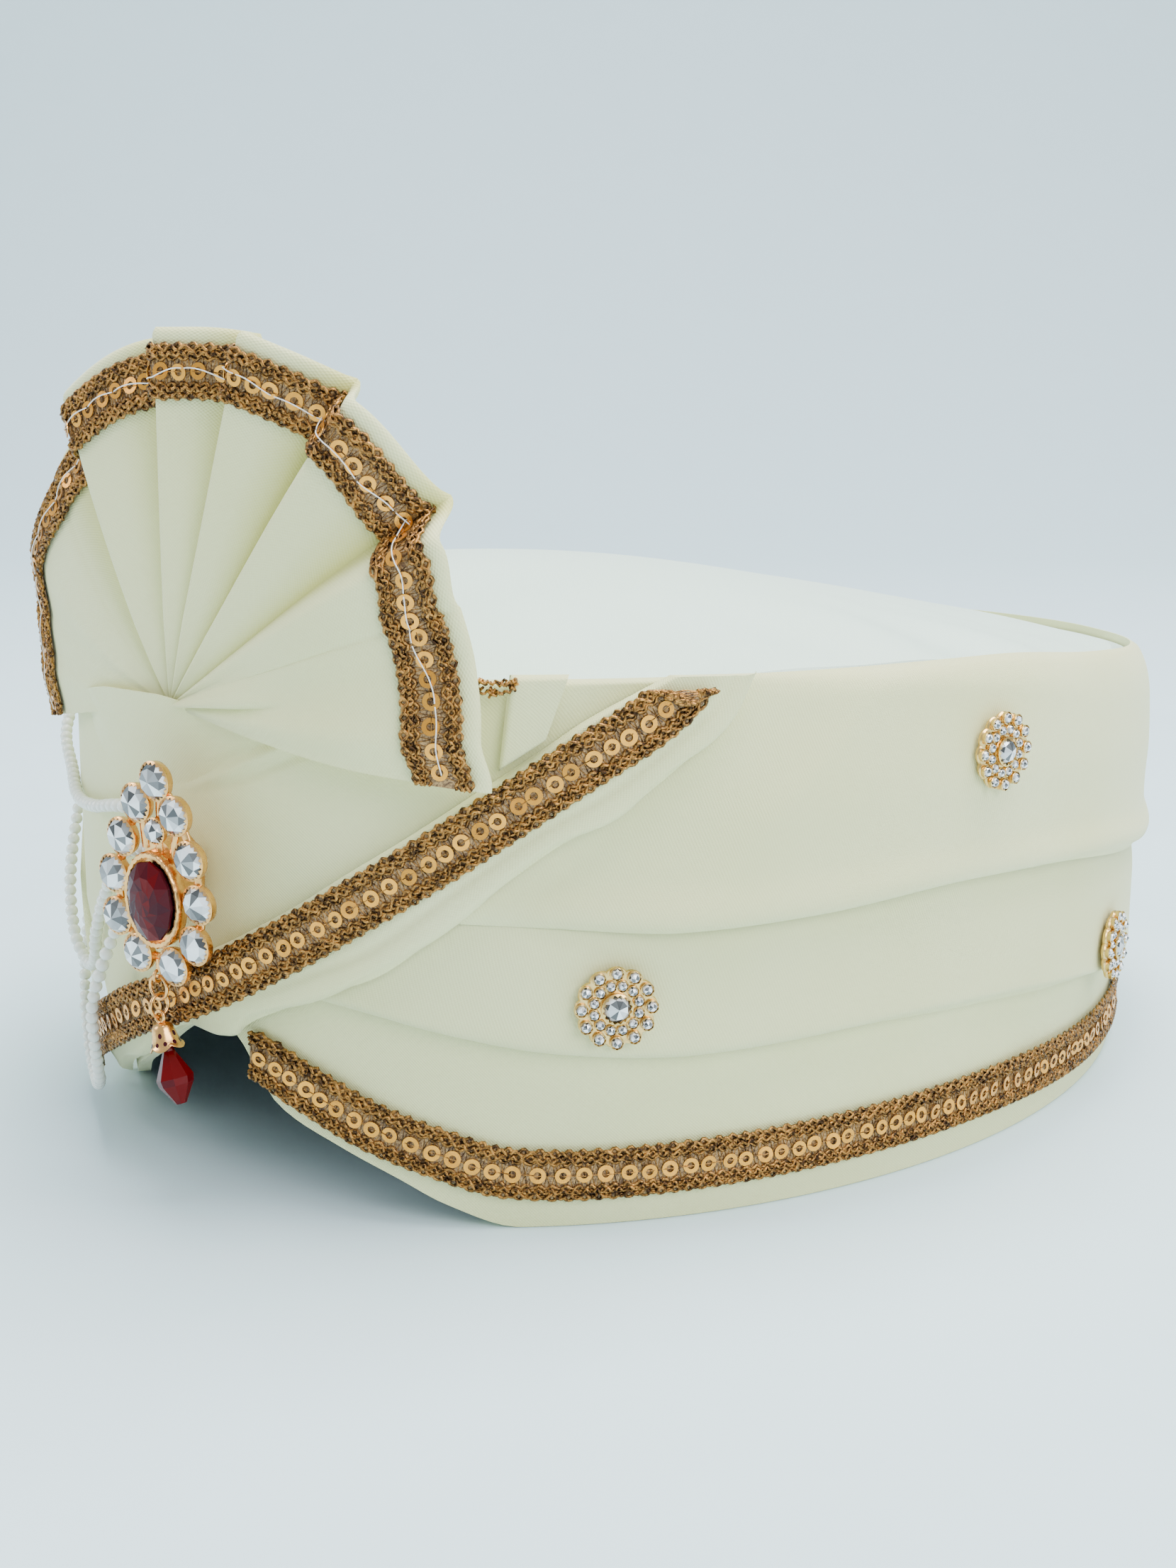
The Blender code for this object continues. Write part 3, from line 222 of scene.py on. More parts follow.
# Yarns of one border of the lace, in millimetres from its edge
BORDER_STRANDS = (Strand(0.55, 0.42, 2.6, 0.0, 0.42), Strand(0.90, 0.45, 2.6, 3.1, 0.62),
                  Strand(1.60, 0.45, 1.9, 0.6, 0.50), Strand(1.80, 0.45, 1.9, 3.7, 0.70),
                  Strand(2.50, 0.34, 2.1, 1.9, 0.45))

CAP_LOW, CAP_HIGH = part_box("cap_shell")
CENTRE = Vector(((CAP_LOW[0] + CAP_HIGH[0]) / 2, CAP_HIGH[1] - RIM_HALF_LENGTH, 0))


def colour_setting(name, description, default):
    return FloatVectorProperty(name=name, description=description, size=3, subtype="COLOR", min=0, max=1,
                               default=default)


def length_setting(name, description, default, low, high):
    return FloatProperty(name=name, description=description, unit="LENGTH", default=default, min=low,
                         max=high, precision=5)


class TurbanCloth(bpy.types.PropertyGroup):
    """Colours and weave of the turban's cloth"""
    ivory: colour_setting("Ivory", "Colour of the wraps and the fan", (0.785, 0.795, 0.46))
    crown: colour_setting("Crown", "Colour of the crown's satin", (0.70, 0.88, 0.76))
    thread: length_setting("Thread pitch", "Distance between two threads of the weave", 0.00054, 0.0001,
                           0.002)
    ripple: length_setting("Ripple", "Height of the soft waves in the wraps", 0.00032, 0, 0.002)


class TurbanLace(bpy.types.PropertyGroup):
    """Sizes and colours of the sequin lace"""
    yarn: length_setting("Yarn radius", "Radius of the crimped yarn", 0.00032, 0.0001, 0.001)
    # The yarn's shade and glint colours are its painted shade and painted highlight colours.
    dark: colour_setting("Yarn shade", "Darker colour of the metal yarn", (0.045, 0.018, 0.004))
    light: colour_setting("Yarn glint", "Lighter colour of the metal yarn", (0.60, 0.29, 0.068))
    sequin: length_setting("Sequin size", "Diameter of a ring sequin", 0.0028, 0.001, 0.006)
    pitch: length_setting("Sequin pitch", "Mean distance between two sequins", 0.0033, 0.002, 0.01)
    gold: colour_setting("Sequin gold", "Colour of the sequins", (0.88, 0.39, 0.055))


class TurbanJewels(bpy.types.PropertyGroup):
    """Stones, beads and metal"""
    metal: colour_setting("Gold", "Colour of the brooch's metal", (0.88, 0.48, 0.17))
    pale: colour_setting("Pale gold", "Colour of the buttons' metal", (0.80, 0.54, 0.20))
    ruby: colour_setting("Red stone", "Colour of the red stones", (0.11, 0.0010, 0.002))
    bead: length_setting("Bead size", "Diameter of a seed pearl", BEAD_SIZE, 0.001, 0.006)
    cup_teeth: IntProperty(name="Cup teeth", description="Crimps round a stone's cup", default=20, min=8,
                           max=40)


def blend(start, end, share):
    return start + (end - start) * share


def clamp(value):
    return max(0.0, min(1.0, value))


def smooth(value):
    value = clamp(value)
    return value * value * (3 - 2 * value)


def level(rows, angle, mirrored=False):
    """The share at an angle, on a smooth curve that never overshoots the rows of a table."""
    place = abs(angle) if mirrored else angle
    if place <= rows[0][0]:
        return rows[0][1]
    if place >= rows[-1][0]:
        return rows[-1][1]
    index = next(i for i in range(len(rows) - 1) if place <= rows[i + 1][0])

    def slope(i):
        return (rows[i + 1][1] - rows[i][1]) / (rows[i + 1][0] - rows[i][0])

    def tangent(i):
        if i == 0 or i == len(rows) - 1:
            return 0.0
        before, after = slope(i - 1), slope(i)
        return 0.0 if before * after <= 0 else 2 * before * after / (before + after)

    span = rows[index + 1][0] - rows[index][0]
    t = (place - rows[index][0]) / span
    return ((2 * t ** 3 - 3 * t ** 2 + 1) * rows[index][1]
            + (t ** 3 - 2 * t ** 2 + t) * span * tangent(index)
            + (3 * t ** 2 - 2 * t ** 3) * rows[index + 1][1]
            + (t ** 3 - t ** 2) * span * tangent(index + 1))


def signed(angle):
    return (angle + 180.0) % 360.0 - 180.0


def tuck(angle, height):
    """How far the wall draws in low down, just past the front centre on the far side."""
    centre, spread, fade = -24.0, 30.0, 0.46
    across = max(0.0, 1.0 - ((signed(angle) - centre) / spread) ** 2)
    upward = max(0.0, 1.0 - height / (fade * WALL_HEIGHT))
    return FRONT_TUCK * across ** 2 * upward


def wall(angle, height, stand):
    """A point that stands out from the rim's oval at an angle and a height."""
    turn = math.radians(angle)
    reach = stand - tuck(angle, height)
    return CENTRE + Vector(((RIM_HALF_WIDTH + reach) * math.sin(turn),
                            -(RIM_HALF_LENGTH + reach) * math.cos(turn), height))


def arc_per_degree(angle):
    """Length round the oval for each degree."""
    turn = math.radians(angle)
    return math.hypot(RIM_HALF_WIDTH * math.cos(turn), RIM_HALF_LENGTH * math.sin(turn)) * math.pi / 180


def seat_frame(angle, height, stand):
    """A frame on the wall: X across to the viewer's right, Y up, Z outward."""
    spin = math.radians(angle)
    out = Vector((math.sin(spin) / RIM_HALF_WIDTH, -math.cos(spin) / RIM_HALF_LENGTH, 0)).normalized()
    across = Vector((-out.y, out.x, 0))
    made = Matrix((across, Vector((0, 0, 1)), out)).transposed().to_4x4()
    made.translation = wall(angle, height, stand)
    return made


def top_edge(angle):
    return level(TOP_EDGE, signed(angle), mirrored=True) * WALL_HEIGHT


def rim_edge(angle):
    return level(ARCH, signed(angle)) * ARCH_RISE


def waves(along, up):
    """Soft unevenness of hand-laid cloth, from -1 to 1, for places in metres."""
    return (0.42 * math.sin(61 * along + 2.1 * math.sin(23 * along + 5 * up) + 0.6)
            + 0.30 * math.sin(113 * along - 47 * up + 1.9)
            + 0.28 * math.sin(37 * along + 139 * up + 1.3 * math.sin(71 * along)))


# Shader parts shared by several finishes
COLOUR, NUMBER, VECTOR = "NodeSocketColor", "NodeSocketFloat", "NodeSocketVector"
LOOK = (("Colour", COLOUR), ("Height", NUMBER), ("Roughness", NUMBER))


def shader_group(name, sockets_in, sockets_out):
    tree = bpy.data.node_groups.new(name, "ShaderNodeTree")
    for label, kind, default in sockets_in:
        socket = tree.interface.new_socket(label, in_out="INPUT", socket_type=kind)
        if default is not None:
            socket.default_value = default
    for label, kind in sockets_out:
        tree.interface.new_socket(label, in_out="OUTPUT", socket_type=kind)
    return tree, tree.nodes.new("NodeGroupInput"), tree.nodes.new("NodeGroupOutput")


def feed(tree, socket, value):
    """Links a socket to another one, or sets it to a number or a colour."""
    if isinstance(value, bpy.types.NodeSocket):
        tree.links.new(value, socket)
    elif hasattr(value, "__len__"):
        socket.default_value = (*value[:3], 1)
    else:
        socket.default_value = value


def math_node(tree, operation, *values):
    node = tree.nodes.new("ShaderNodeMath")
    node.operation = operation
    for socket, value in zip(node.inputs, values):
        feed(tree, socket, value)
    return node.outputs[0]


def mix_colour(tree, share, first, second):
    node = tree.nodes.new("ShaderNodeMix")
    node.data_type = "RGBA"
    for index, value in ((0, share), (6, first), (7, second)):
        feed(tree, node.inputs[index], value)
    return node.outputs[2]


def noise(tree, vector, scale, detail=3.0, roughness=0.5):
    node = tree.nodes.new("ShaderNodeTexNoise")
    for label, value in (("Vector", vector), ("Scale", scale), ("Detail", detail), ("Roughness", roughness)):
        feed(tree, node.inputs[label], value)
    return node.outputs["Fac"]


def spread(tree, value, low, high, out_low=0.0, out_high=1.0):
    node = tree.nodes.new("ShaderNodeMapRange")
    tree.links.new(value, node.inputs["Value"])
    for name, number in (("From Min", low), ("From Max", high), ("To Min", out_low), ("To Max", out_high)):
        node.inputs[name].default_value = number
    return node.outputs["Result"]


def cloth_weave_group():
    """Threads that cross over and under, with faint slubs, for a flat map in metres, with painted shade in
    the weave's hollows and, from Fold, in the fan's pleat valleys.
    """
    tree, given, out = shader_group(
        "Cloth Weave",
        (("Flat Map", VECTOR, None), ("Place", VECTOR, None), ("Thread Pitch", NUMBER, 0.00054),
         ("Cloth", COLOUR, (0.8, 0.8, 0.7, 1)), ("Shade", COLOUR, (0.6, 0.6, 0.45, 1)),
         ("Fold", NUMBER, 0.0)),
        LOOK)
    flat, place, fold = (given.outputs[label] for label in ("Flat Map", "Place", "Fold"))
    apart = tree.nodes.new("ShaderNodeSeparateXYZ")
    tree.links.new(flat, apart.inputs[0])
    turns = math_node(tree, "DIVIDE", FULL_TURN, given.outputs["Thread Pitch"])
    wobble = math_node(tree, "MULTIPLY", noise(tree, flat, 60, 1), 2.0)
    threads = []
    for i in range(2):
        run = math_node(tree, "MULTIPLY", apart.outputs[i], turns)
        threads.append(math_node(tree, "SINE", math_node(tree, "ADD", run, wobble)))
    crossing = math_node(tree, "MULTIPLY", *threads)
    slub = noise(tree, flat, 900, 2, 0.6)
    height = math_node(tree, "MULTIPLY_ADD", crossing, 0.36, math_node(tree, "MULTIPLY", slub, 0.5))
    patch = spread(tree, noise(tree, place, 22, 2), 0.35, 0.7, 0.0, 0.22)
    # Painted shade: the low crossings of the weave and, through Fold, the fan's pleat valleys are mixed
    # towards the Shade colour; patch adds random patches of colour.
    patches_and_painted_shade = math_node(tree, "ADD", patch, spread(tree, crossing, -1, 1, 0.30, 0.0))
    patches_and_painted_shade = math_node(tree, "ADD", patches_and_painted_shade, math_node(tree, "MULTIPLY", fold, 1.15))
    tree.links.new(mix_colour(tree, patches_and_painted_shade, given.outputs["Cloth"], given.outputs["Shade"]),
                   out.inputs["Colour"])
    tree.links.new(height, out.inputs["Height"])
    tree.links.new(spread(tree, slub, 0.3, 0.7, 0.50, 0.66), out.inputs["Roughness"])
    return tree


def metal_yarn_group():
    """Twisted metal yarn: painted shade in dark gaps between painted glints, which are painted highlights."""
    tree, given, out = shader_group(
        "Metal Yarn",
        (("Place", VECTOR, None), ("Glint Scale", NUMBER, 1250.0), ("Dark", COLOUR, (0.16, 0.075, 0.025, 1)),
         ("Light", COLOUR, (0.78, 0.5, 0.22, 1))), LOOK)
    place = given.outputs["Place"]
    fine = noise(tree, place, given.outputs["Glint Scale"], 2, 0.7)
    broad = noise(tree, place, 420, 2, 0.5)
    # Painted highlights and painted shade: noise mixes the Light glint colour and the Dark gap colour.
    painted_glint = spread(tree, math_node(tree, "MULTIPLY_ADD", broad, 0.35, fine), 0.55, 0.86)
    tree.links.new(mix_colour(tree, painted_glint, given.outputs["Dark"], given.outputs["Light"]),
                   out.inputs["Colour"])
    tree.links.new(fine, out.inputs["Height"])
    tree.links.new(spread(tree, broad, 0.3, 0.7, 0.24, 0.5), out.inputs["Roughness"])
    return tree


def facet_group():
    """Facets of a cut stone, each with its own painted light: painted reflections and painted shade."""
    tree, given, out = shader_group(
        "Painted Facet Light",
        (("Lighting", NUMBER, 0.5), ("Dark", COLOUR, (0.1, 0.1, 0.1, 1)), ("Light", COLOUR, (1, 1, 1, 1))),
        (("Colour", COLOUR), ("Roughness", NUMBER)))
    lighting = given.outputs["Lighting"]
    # Painted reflections and painted shade: each face's painted light mixes the Dark and Light colours.
    tree.links.new(mix_colour(tree, lighting, given.outputs["Dark"], given.outputs["Light"]),
                   out.inputs["Colour"])
    tree.links.new(spread(tree, lighting, 0, 1, 0.04, 0.14), out.inputs["Roughness"])
    return tree


def polish_group():
    """Polished metal with faint handling marks."""
    tree, given, out = shader_group(
        "Handled Polish",
        (("Place", VECTOR, None), ("Metal", COLOUR, (0.8, 0.5, 0.2, 1)),
         ("Shade", COLOUR, (0.3, 0.15, 0.05, 1)), ("Mark Scale", NUMBER, 700.0)), LOOK)
    marks = noise(tree, given.outputs["Place"], given.outputs["Mark Scale"], 3, 0.6)
    worn = spread(tree, marks, 0.4, 0.75, 0, 0.35)
    tree.links.new(mix_colour(tree, worn, given.outputs["Metal"], given.outputs["Shade"]),
                   out.inputs["Colour"])
    tree.links.new(marks, out.inputs["Height"])
    tree.links.new(spread(tree, marks, 0.3, 0.7, 0.16, 0.36), out.inputs["Roughness"])
    return tree


def finish(name, constants):
    """A material with its shader's own constant sockets set."""
    made = bpy.data.materials.new(name)
    made.use_nodes = True
    shader = made.node_tree.nodes["Principled BSDF"]
    for socket, value in constants.items():
        shader.inputs[socket].default_value = value
    return made, made.node_tree, shader


def object_place(tree):
    return tree.nodes.new("ShaderNodeTexCoord").outputs["Object"]


def flat_map(tree):
    node = tree.nodes.new("ShaderNodeUVMap")
    node.uv_map = "Flat"
    return node.outputs["UV"]


def attribute_value(tree, name):
    node = tree.nodes.new("ShaderNodeAttribute")
    node.attribute_name = name
    return node.outputs["Fac"]


def group_finish(name, group, constants, values, relief=0.0):
    """A material fed by a shader group. Inputs named for a map or an attribute are joined to it."""
    _, tree, shader = finish(name, constants)
    node = tree.nodes.new("ShaderNodeGroup")
    node.node_tree = group
    for label, value in values.items():
        feed(tree, node.inputs[label], value)
    if "Place" in node.inputs:
        tree.links.new(object_place(tree), node.inputs["Place"])
    if "Flat Map" in node.inputs:
        tree.links.new(flat_map(tree), node.inputs["Flat Map"])
    # The attributes bring the fan's painted valley shade and the stones' painted light.
    for label in ("Fold", "Lighting"):
        if label in node.inputs:
            tree.links.new(attribute_value(tree, label.lower()), node.inputs[label])
    tree.links.new(node.outputs["Colour"], shader.inputs["Base Color"])
    tree.links.new(node.outputs["Roughness"], shader.inputs["Roughness"])
    if relief:
        bump = tree.nodes.new("ShaderNodeBump")
        bump.inputs["Distance"].default_value = relief
        bump.inputs["Strength"].default_value = 1.0
        tree.links.new(node.outputs["Height"], bump.inputs["Height"])
        tree.links.new(bump.outputs["Normal"], shader.inputs["Normal"])


def halved(colour):
    return tuple(c * 0.5 for c in colour)


def make_finishes(scene):
    """Every material of the turban, by its plain name."""
    cloth, lace, jewels = scene.turban_cloth, scene.turban_lace, scene.turban_jewels
    weave, twist, facet, polish = cloth_weave_group(), metal_yarn_group(), facet_group(), polish_group()
    # The shade colours are the painted shade of the weave's hollows and, for the ivory, the warm painted
    # shade of the fan's pleat valleys, and also the colour of random patches.
    ivory_shade = tuple(c * share for c, share in zip(cloth.ivory, (0.84, 0.80, 0.52)))
    crown_shade = tuple(0.86 * c for c in cloth.crown)
    for name, colour, shade, coarse, sheen, relief in (
            ("ivory cloth", cloth.ivory, ivory_shade, 1.0, 0.25, 0.00009),
            ("crown satin", cloth.crown, crown_shade, 0.8, 0.35, 0.00003),
            ("cap lining", (0.62, 0.66, 0.62), (0.5, 0.53, 0.5), 1.4, 0.1, 0.00009)):
        group_finish(name, weave, {"Specular IOR Level": 0.35, "Sheen Weight": sheen, "Sheen Roughness": 0.4,
                                   "Subsurface Weight": 0.0},
                     {"Thread Pitch": cloth.thread * coarse, "Cloth": colour, "Shade": shade}, relief)
    # The metal yarn and the lace net take painted highlights and painted shade from the Metal Yarn group.
    group_finish("metal yarn", twist, {"Metallic": 0.75, "Specular IOR Level": 0.6},
                 {"Dark": lace.dark, "Light": lace.light}, 0.00012)
    group_finish("lace net", twist, {"Metallic": 0.2},
                 {"Glint Scale": 2600.0, "Dark": (0.10, 0.045, 0.015), "Light": (0.52, 0.31, 0.12)}, 0.0001)
    for name, constants, colour, shade, marks, relief in (
            ("sequin gold", {"Metallic": 0.85}, lace.gold, (0.46, 0.18, 0.03), 420.0, 0.00003),
            ("brooch gold", {"Metallic": 1.0}, jewels.metal, halved(jewels.metal), 700.0, 0.00002),
            ("button gold", {"Metallic": 1.0}, jewels.pale, halved(jewels.pale), 700.0, 0.00002),
            ("seed pearl", {"Coat Weight": 0.5, "Coat Roughness": 0.15, "Subsurface Weight": 0.0},
             (0.86, 0.87, 0.80), (0.74, 0.74, 0.68), 500.0, 0.0),
            ("white thread", {"Sheen Weight": 0.3}, (0.88, 0.86, 0.82), (0.72, 0.70, 0.66), 3000.0, 0.0)):
        group_finish(name, polish, constants, {"Metal": colour, "Shade": shade, "Mark Scale": marks}, relief)
    # The stones mix a dark and a light colour by each face's painted light: painted reflections and painted
    # shade.
    for name, dark, light, metallic, coat, shine in (
            ("clear stone", (0.035, 0.036, 0.04), (0.95, 0.97, 1.0), 0.25, 0.6, 0.8),
            ("red stone", (0.030, 0.004, 0.010), jewels.ruby, 0.0, 0.03, 0.14)):
        group_finish(name, facet, {"Metallic": metallic, "Coat Weight": coat, "Coat Roughness": 0.02,
                                   "Specular IOR Level": shine}, {"Dark": dark, "Light": light})


def finish_named(name):
    return bpy.data.materials[name]


# Mesh tools
def add_piece(name, mesh, *replaced, slot):
    """Puts a finished mesh in the scene, riding on the turban."""
    piece = bpy.data.objects.new(name, mesh)
    bpy.context.scene.collection.objects.link(piece)
    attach(piece, "root")
    if replaced:
        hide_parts(*replaced)
    return piece


def cloth_shell(name, at, count, rows, material="ivory cloth"):
    """A closed sheet. at gives a point of its face or its back for the shares along and up."""
    work = bmesh.new()
    flat = work.loops.layers.uv.new("Flat")
    front, rear = ([[work.verts.new(at(i / count, j / rows, face)) for j in range(rows + 1)]
                    for i in range(count + 1)] for face in (True, False))
    middle = rows // 2
    along = [0.0]
    for i in range(count):
        along.append(along[-1] + (front[i + 1][middle].co - front[i][middle].co).length)
    up = []
    for column in front:
        heights = [0.0]
        for j in range(rows):
            heights.append(heights[-1] + (column[j + 1].co - column[j].co).length)
        up.append([h - heights[middle] for h in heights])

    def patch(layers, places):
        """One face, with its place on the flat cloth in metres as its map."""
        made = work.faces.new([layer[i][j] for layer, (i, j) in zip(layers, places)])
        for loop, (i, j) in zip(made.loops, places):
            loop[flat].uv = (along[i], up[i][j])

    def seam(first, second, start, end):
        patch((first, first, second, second), (start, end, end, start))

    for i in range(count):
        for j in range(rows):
            places = ((i, j), (i + 1, j), (i + 1, j + 1), (i, j + 1))
            patch([front] * 4, places)
            patch([rear] * 4, places[::-1])
    for i in range(count):
        seam(rear, front, (i, 0), (i + 1, 0))
        seam(front, rear, (i, rows), (i + 1, rows))
    for j in range(rows):
        seam(front, rear, (0, j), (0, j + 1))
        seam(rear, front, (count, j), (count, j + 1))
    mesh = mesh_of(name, work, material)
    mesh["flat_size"] = (along[-1], max(heights[-1] - heights[0] for heights in up))
    return mesh


def sheet(piece):
    """Reads a piece's measured flat size and works out its area, but sets nothing on the piece."""
    long, tall = piece.data["flat_size"]
    area = sum(face.area for face in piece.data.polygons) / 2


def mesh_of(name, work, material, sharp=60.0):
    bmesh.ops.recalc_face_normals(work, faces=work.faces)
    mesh = bpy.data.meshes.new(name)
    work.to_mesh(mesh)
    work.free()
    mesh.materials.append(finish_named(material))
    mesh.shade_smooth()
    mesh.set_sharp_from_angle(angle=math.radians(sharp))
    return mesh


def geometry_tree(name, inputs, build):
    """A Geometry Nodes tree that ends in Realize Instances and Set Material."""
    tree = bpy.data.node_groups.new(name, "GeometryNodeTree")
    tree.interface.new_socket("Geometry", in_out="INPUT", socket_type="NodeSocketGeometry")
    for label, kind, default in inputs:
        socket = tree.interface.new_socket(label, in_out="INPUT", socket_type=kind)
        if default is not None:
            socket.default_value = default
    tree.interface.new_socket("Geometry", in_out="OUTPUT", socket_type="NodeSocketGeometry")
    given, out = tree.nodes.new("NodeGroupInput"), tree.nodes.new("NodeGroupOutput")
    shape = build(tree, given)
    realize, smooth_shade = tree.nodes.new("GeometryNodeRealizeInstances"), tree.nodes.new(
        "GeometryNodeSetShadeSmooth")
    dress = tree.nodes.new("GeometryNodeSetMaterial")
    tree.links.new(shape, realize.inputs[0])
    tree.links.new(realize.outputs[0], smooth_shade.inputs["Geometry"])
    if "Smooth" in given.outputs:
        tree.links.new(given.outputs["Smooth"], smooth_shade.inputs["Shade Smooth"])
    tree.links.new(smooth_shade.outputs[0], dress.inputs["Geometry"])
    tree.links.new(given.outputs["Material"], dress.inputs["Material"])
    tree.links.new(dress.outputs[0], out.inputs[0])
    return tree


def build_yarn(tree, given):
    """Sweeps a round profile along edges."""
    path, sweep = tree.nodes.new("GeometryNodeMeshToCurve"), tree.nodes.new("GeometryNodeCurveToMesh")
    profile = tree.nodes.new("GeometryNodeCurvePrimitiveCircle")
    tree.links.new(given.outputs["Sides"], profile.inputs["Resolution"])
    tree.links.new(given.outputs["Radius"], profile.inputs["Radius"])
    tree.links.new(given.outputs["Geometry"], path.inputs[0])
    tree.links.new(path.outputs[0], sweep.inputs["Curve"])
    tree.links.new(profile.outputs[0], sweep.inputs["Profile Curve"])
    sweep.inputs["Fill Caps"].default_value = True
    return sweep.outputs[0]


def build_copies(tree, given):
    """Copies a template to each point, turned and sized by the points' own values."""
    copies, source = tree.nodes.new("GeometryNodeInstanceOnPoints"), tree.nodes.new("GeometryNodeObjectInfo")
    tree.links.new(given.outputs["Template"], source.inputs["Object"])
    source.inputs["As Instance"].default_value = True
    turn, size = tree.nodes.new("GeometryNodeInputNamedAttribute"), tree.nodes.new(
        "GeometryNodeInputNamedAttribute")
    turn.data_type, size.data_type = "FLOAT_VECTOR", "FLOAT"
    turn.inputs["Name"].default_value, size.inputs["Name"].default_value = "turn", "size"
    euler = tree.nodes.new("FunctionNodeEulerToRotation")
    tree.links.new(turn.outputs["Attribute"], euler.inputs[0])
    tree.links.new(given.outputs["Geometry"], copies.inputs["Points"])
    tree.links.new(source.outputs["Geometry"], copies.inputs["Instance"])
    tree.links.new(euler.outputs[0], copies.inputs["Rotation"])
    tree.links.new(size.outputs["Attribute"], copies.inputs["Scale"])
    return copies.outputs[0]


def build_beads(tree, given):
    """Threads round beads at an even pitch along edges."""
    path, even = tree.nodes.new("GeometryNodeMeshToCurve"), tree.nodes.new("GeometryNodeResampleCurve")
    copies, bead = tree.nodes.new("GeometryNodeInstanceOnPoints"), tree.nodes.new("GeometryNodeMeshUVSphere")
    varied = tree.nodes.new("FunctionNodeRandomValue")
    even.mode = "LENGTH"
    bead.inputs["Segments"].default_value = 14
    bead.inputs["Rings"].default_value = 9
    varied.inputs[2].default_value = 0.94
    varied.inputs[3].default_value = 1.03
    tree.links.new(given.outputs["Seed"], varied.inputs["Seed"])
    tree.links.new(given.outputs["Radius"], bead.inputs["Radius"])
    tree.links.new(given.outputs["Pitch"], even.inputs["Length"])
    tree.links.new(given.outputs["Geometry"], path.inputs[0])
    tree.links.new(path.outputs[0], even.inputs["Curve"])
    tree.links.new(even.outputs[0], copies.inputs["Points"])
    tree.links.new(bead.outputs["Mesh"], copies.inputs["Instance"])
    tree.links.new(varied.outputs[1], copies.inputs["Scale"])
    return copies.outputs[0]


def shared_tree(name):
    """One of the three trees, built when it is first asked for."""
    found = bpy.data.node_groups.get(name)
    if found:
        return found
    material = ("Material", "NodeSocketMaterial", None)
    if name == "Swept Yarn":
        sides = ("Sides", "NodeSocketInt", 4)
        return geometry_tree(name, (("Radius", NUMBER, 0.0003), sides, material), build_yarn)
    if name == "Placed Copies":
        template = ("Template", "NodeSocketObject", None)
        return geometry_tree(name, (template, ("Smooth", "NodeSocketBool", True), material), build_copies)
    seed = ("Seed", "NodeSocketInt", 3)
    return geometry_tree(name, (("Radius", NUMBER, 0.0012), ("Pitch", NUMBER, 0.0024), seed, material),
                         build_beads)


def run_tree(name, mesh, tree_name, values):
    """The plain mesh that a tree makes of a mesh."""
    tree = shared_tree(tree_name)
    holder = bpy.data.objects.new(name + "_path", mesh)
    bpy.context.scene.collection.objects.link(holder)
    maker = holder.modifiers.new(tree_name, "NODES")
    maker.node_group = tree
    ids = {item.name: item.identifier for item in tree.interface.items_tree if item.in_out == "INPUT"}
    for label, value in values.items():
        maker[ids[label]] = value
    graph = bpy.context.evaluated_depsgraph_get()
    made = bpy.data.meshes.new_from_object(holder.evaluated_get(graph))
    made.name = name
    bpy.data.objects.remove(holder, do_unlink=True)
    return made


def path_mesh(name, lines):
    """A mesh of open runs of edges."""
    points, edges = [], []
    for line in lines:
        start = len(points)
        points += [tuple(p) for p in line]
        edges += [(start + i, start + i + 1) for i in range(len(line) - 1)]
    mesh = bpy.data.meshes.new(name)
    mesh.from_pydata(points, edges, [])
    return mesh


def yarn(name, lines, radius, sides, material):
    return run_tree(name, path_mesh(name, lines), "Swept Yarn",
                    {"Radius": radius, "Sides": sides, "Material": finish_named(material)})


def sew(name, lines, radius, sides, slot="gold_braid", material="metal yarn"):
    """A piece of yarn swept along lines."""
    add_piece(name, yarn(name, lines, radius, sides, material), slot=slot)


def copies(name, spots, template, material, flat=False):
    """Copies of a template mesh; a spot is a frame and a size."""
    mesh = bpy.data.meshes.new(name)
    mesh.from_pydata([tuple(frame_at.translation) for frame_at, _ in spots], [], [])
    mesh.attributes.new("turn", "FLOAT_VECTOR", "POINT")
    mesh.attributes.new("size", "FLOAT", "POINT")
    turns = [value for frame_at, _ in spots for value in frame_at.to_euler()]
    mesh.attributes["turn"].data.foreach_set("vector", turns)
    mesh.attributes["size"].data.foreach_set("value", [scale for _, scale in spots])
    pattern = bpy.data.objects.new(name + "_pattern", template)
    bpy.context.scene.collection.objects.link(pattern)
    made = run_tree(name, mesh, "Placed Copies",
                    {"Template": pattern, "Smooth": not flat, "Material": finish_named(material)})
    bpy.data.objects.remove(pattern, do_unlink=True)
    return made


def join_meshes(name, meshes):
    """One mesh of several, each keeping its materials."""
    work = bmesh.new()
    finishes = []
    for mesh in meshes:
        start = len(work.faces)
        offset = len(finishes)
        finishes += list(mesh.materials)
        work.from_mesh(mesh)
        work.faces.ensure_lookup_table()
        for index in range(start, len(work.faces)):
            work.faces[index].material_index += offset
    made = bpy.data.meshes.new(name)
    work.to_mesh(made)
    work.free()
    for used in finishes:
        made.materials.append(used)
    return made


def rings_mesh(name, loops, material, sharp=60.0, closed=False):
    """Faces between loops of points. The ends are capped, or joined to each other when it is closed."""
    work = bmesh.new()
    rings = [[work.verts.new(p) for p in loop] for loop in loops]
    for a, b in zip(rings, rings[1:] + rings[:1] if closed else rings[1:]):
        for i in range(len(a)):
            j = (i + 1) % len(a)
            work.faces.new((a[i], a[j], b[j], b[i]))
    if not closed:
        work.faces.new(rings[0][::-1])
        work.faces.new(rings[-1])
    return mesh_of(name, work, material, sharp)


def polar(radius, turn, stretch=1.0):
    return radius * math.cos(turn), radius * stretch * math.sin(turn)


def circle(radius, height, sides, turn=0.0, stretch=1.0):
    return [(*polar(radius, FULL_TURN * i / sides + turn, stretch), height) for i in range(sides)]


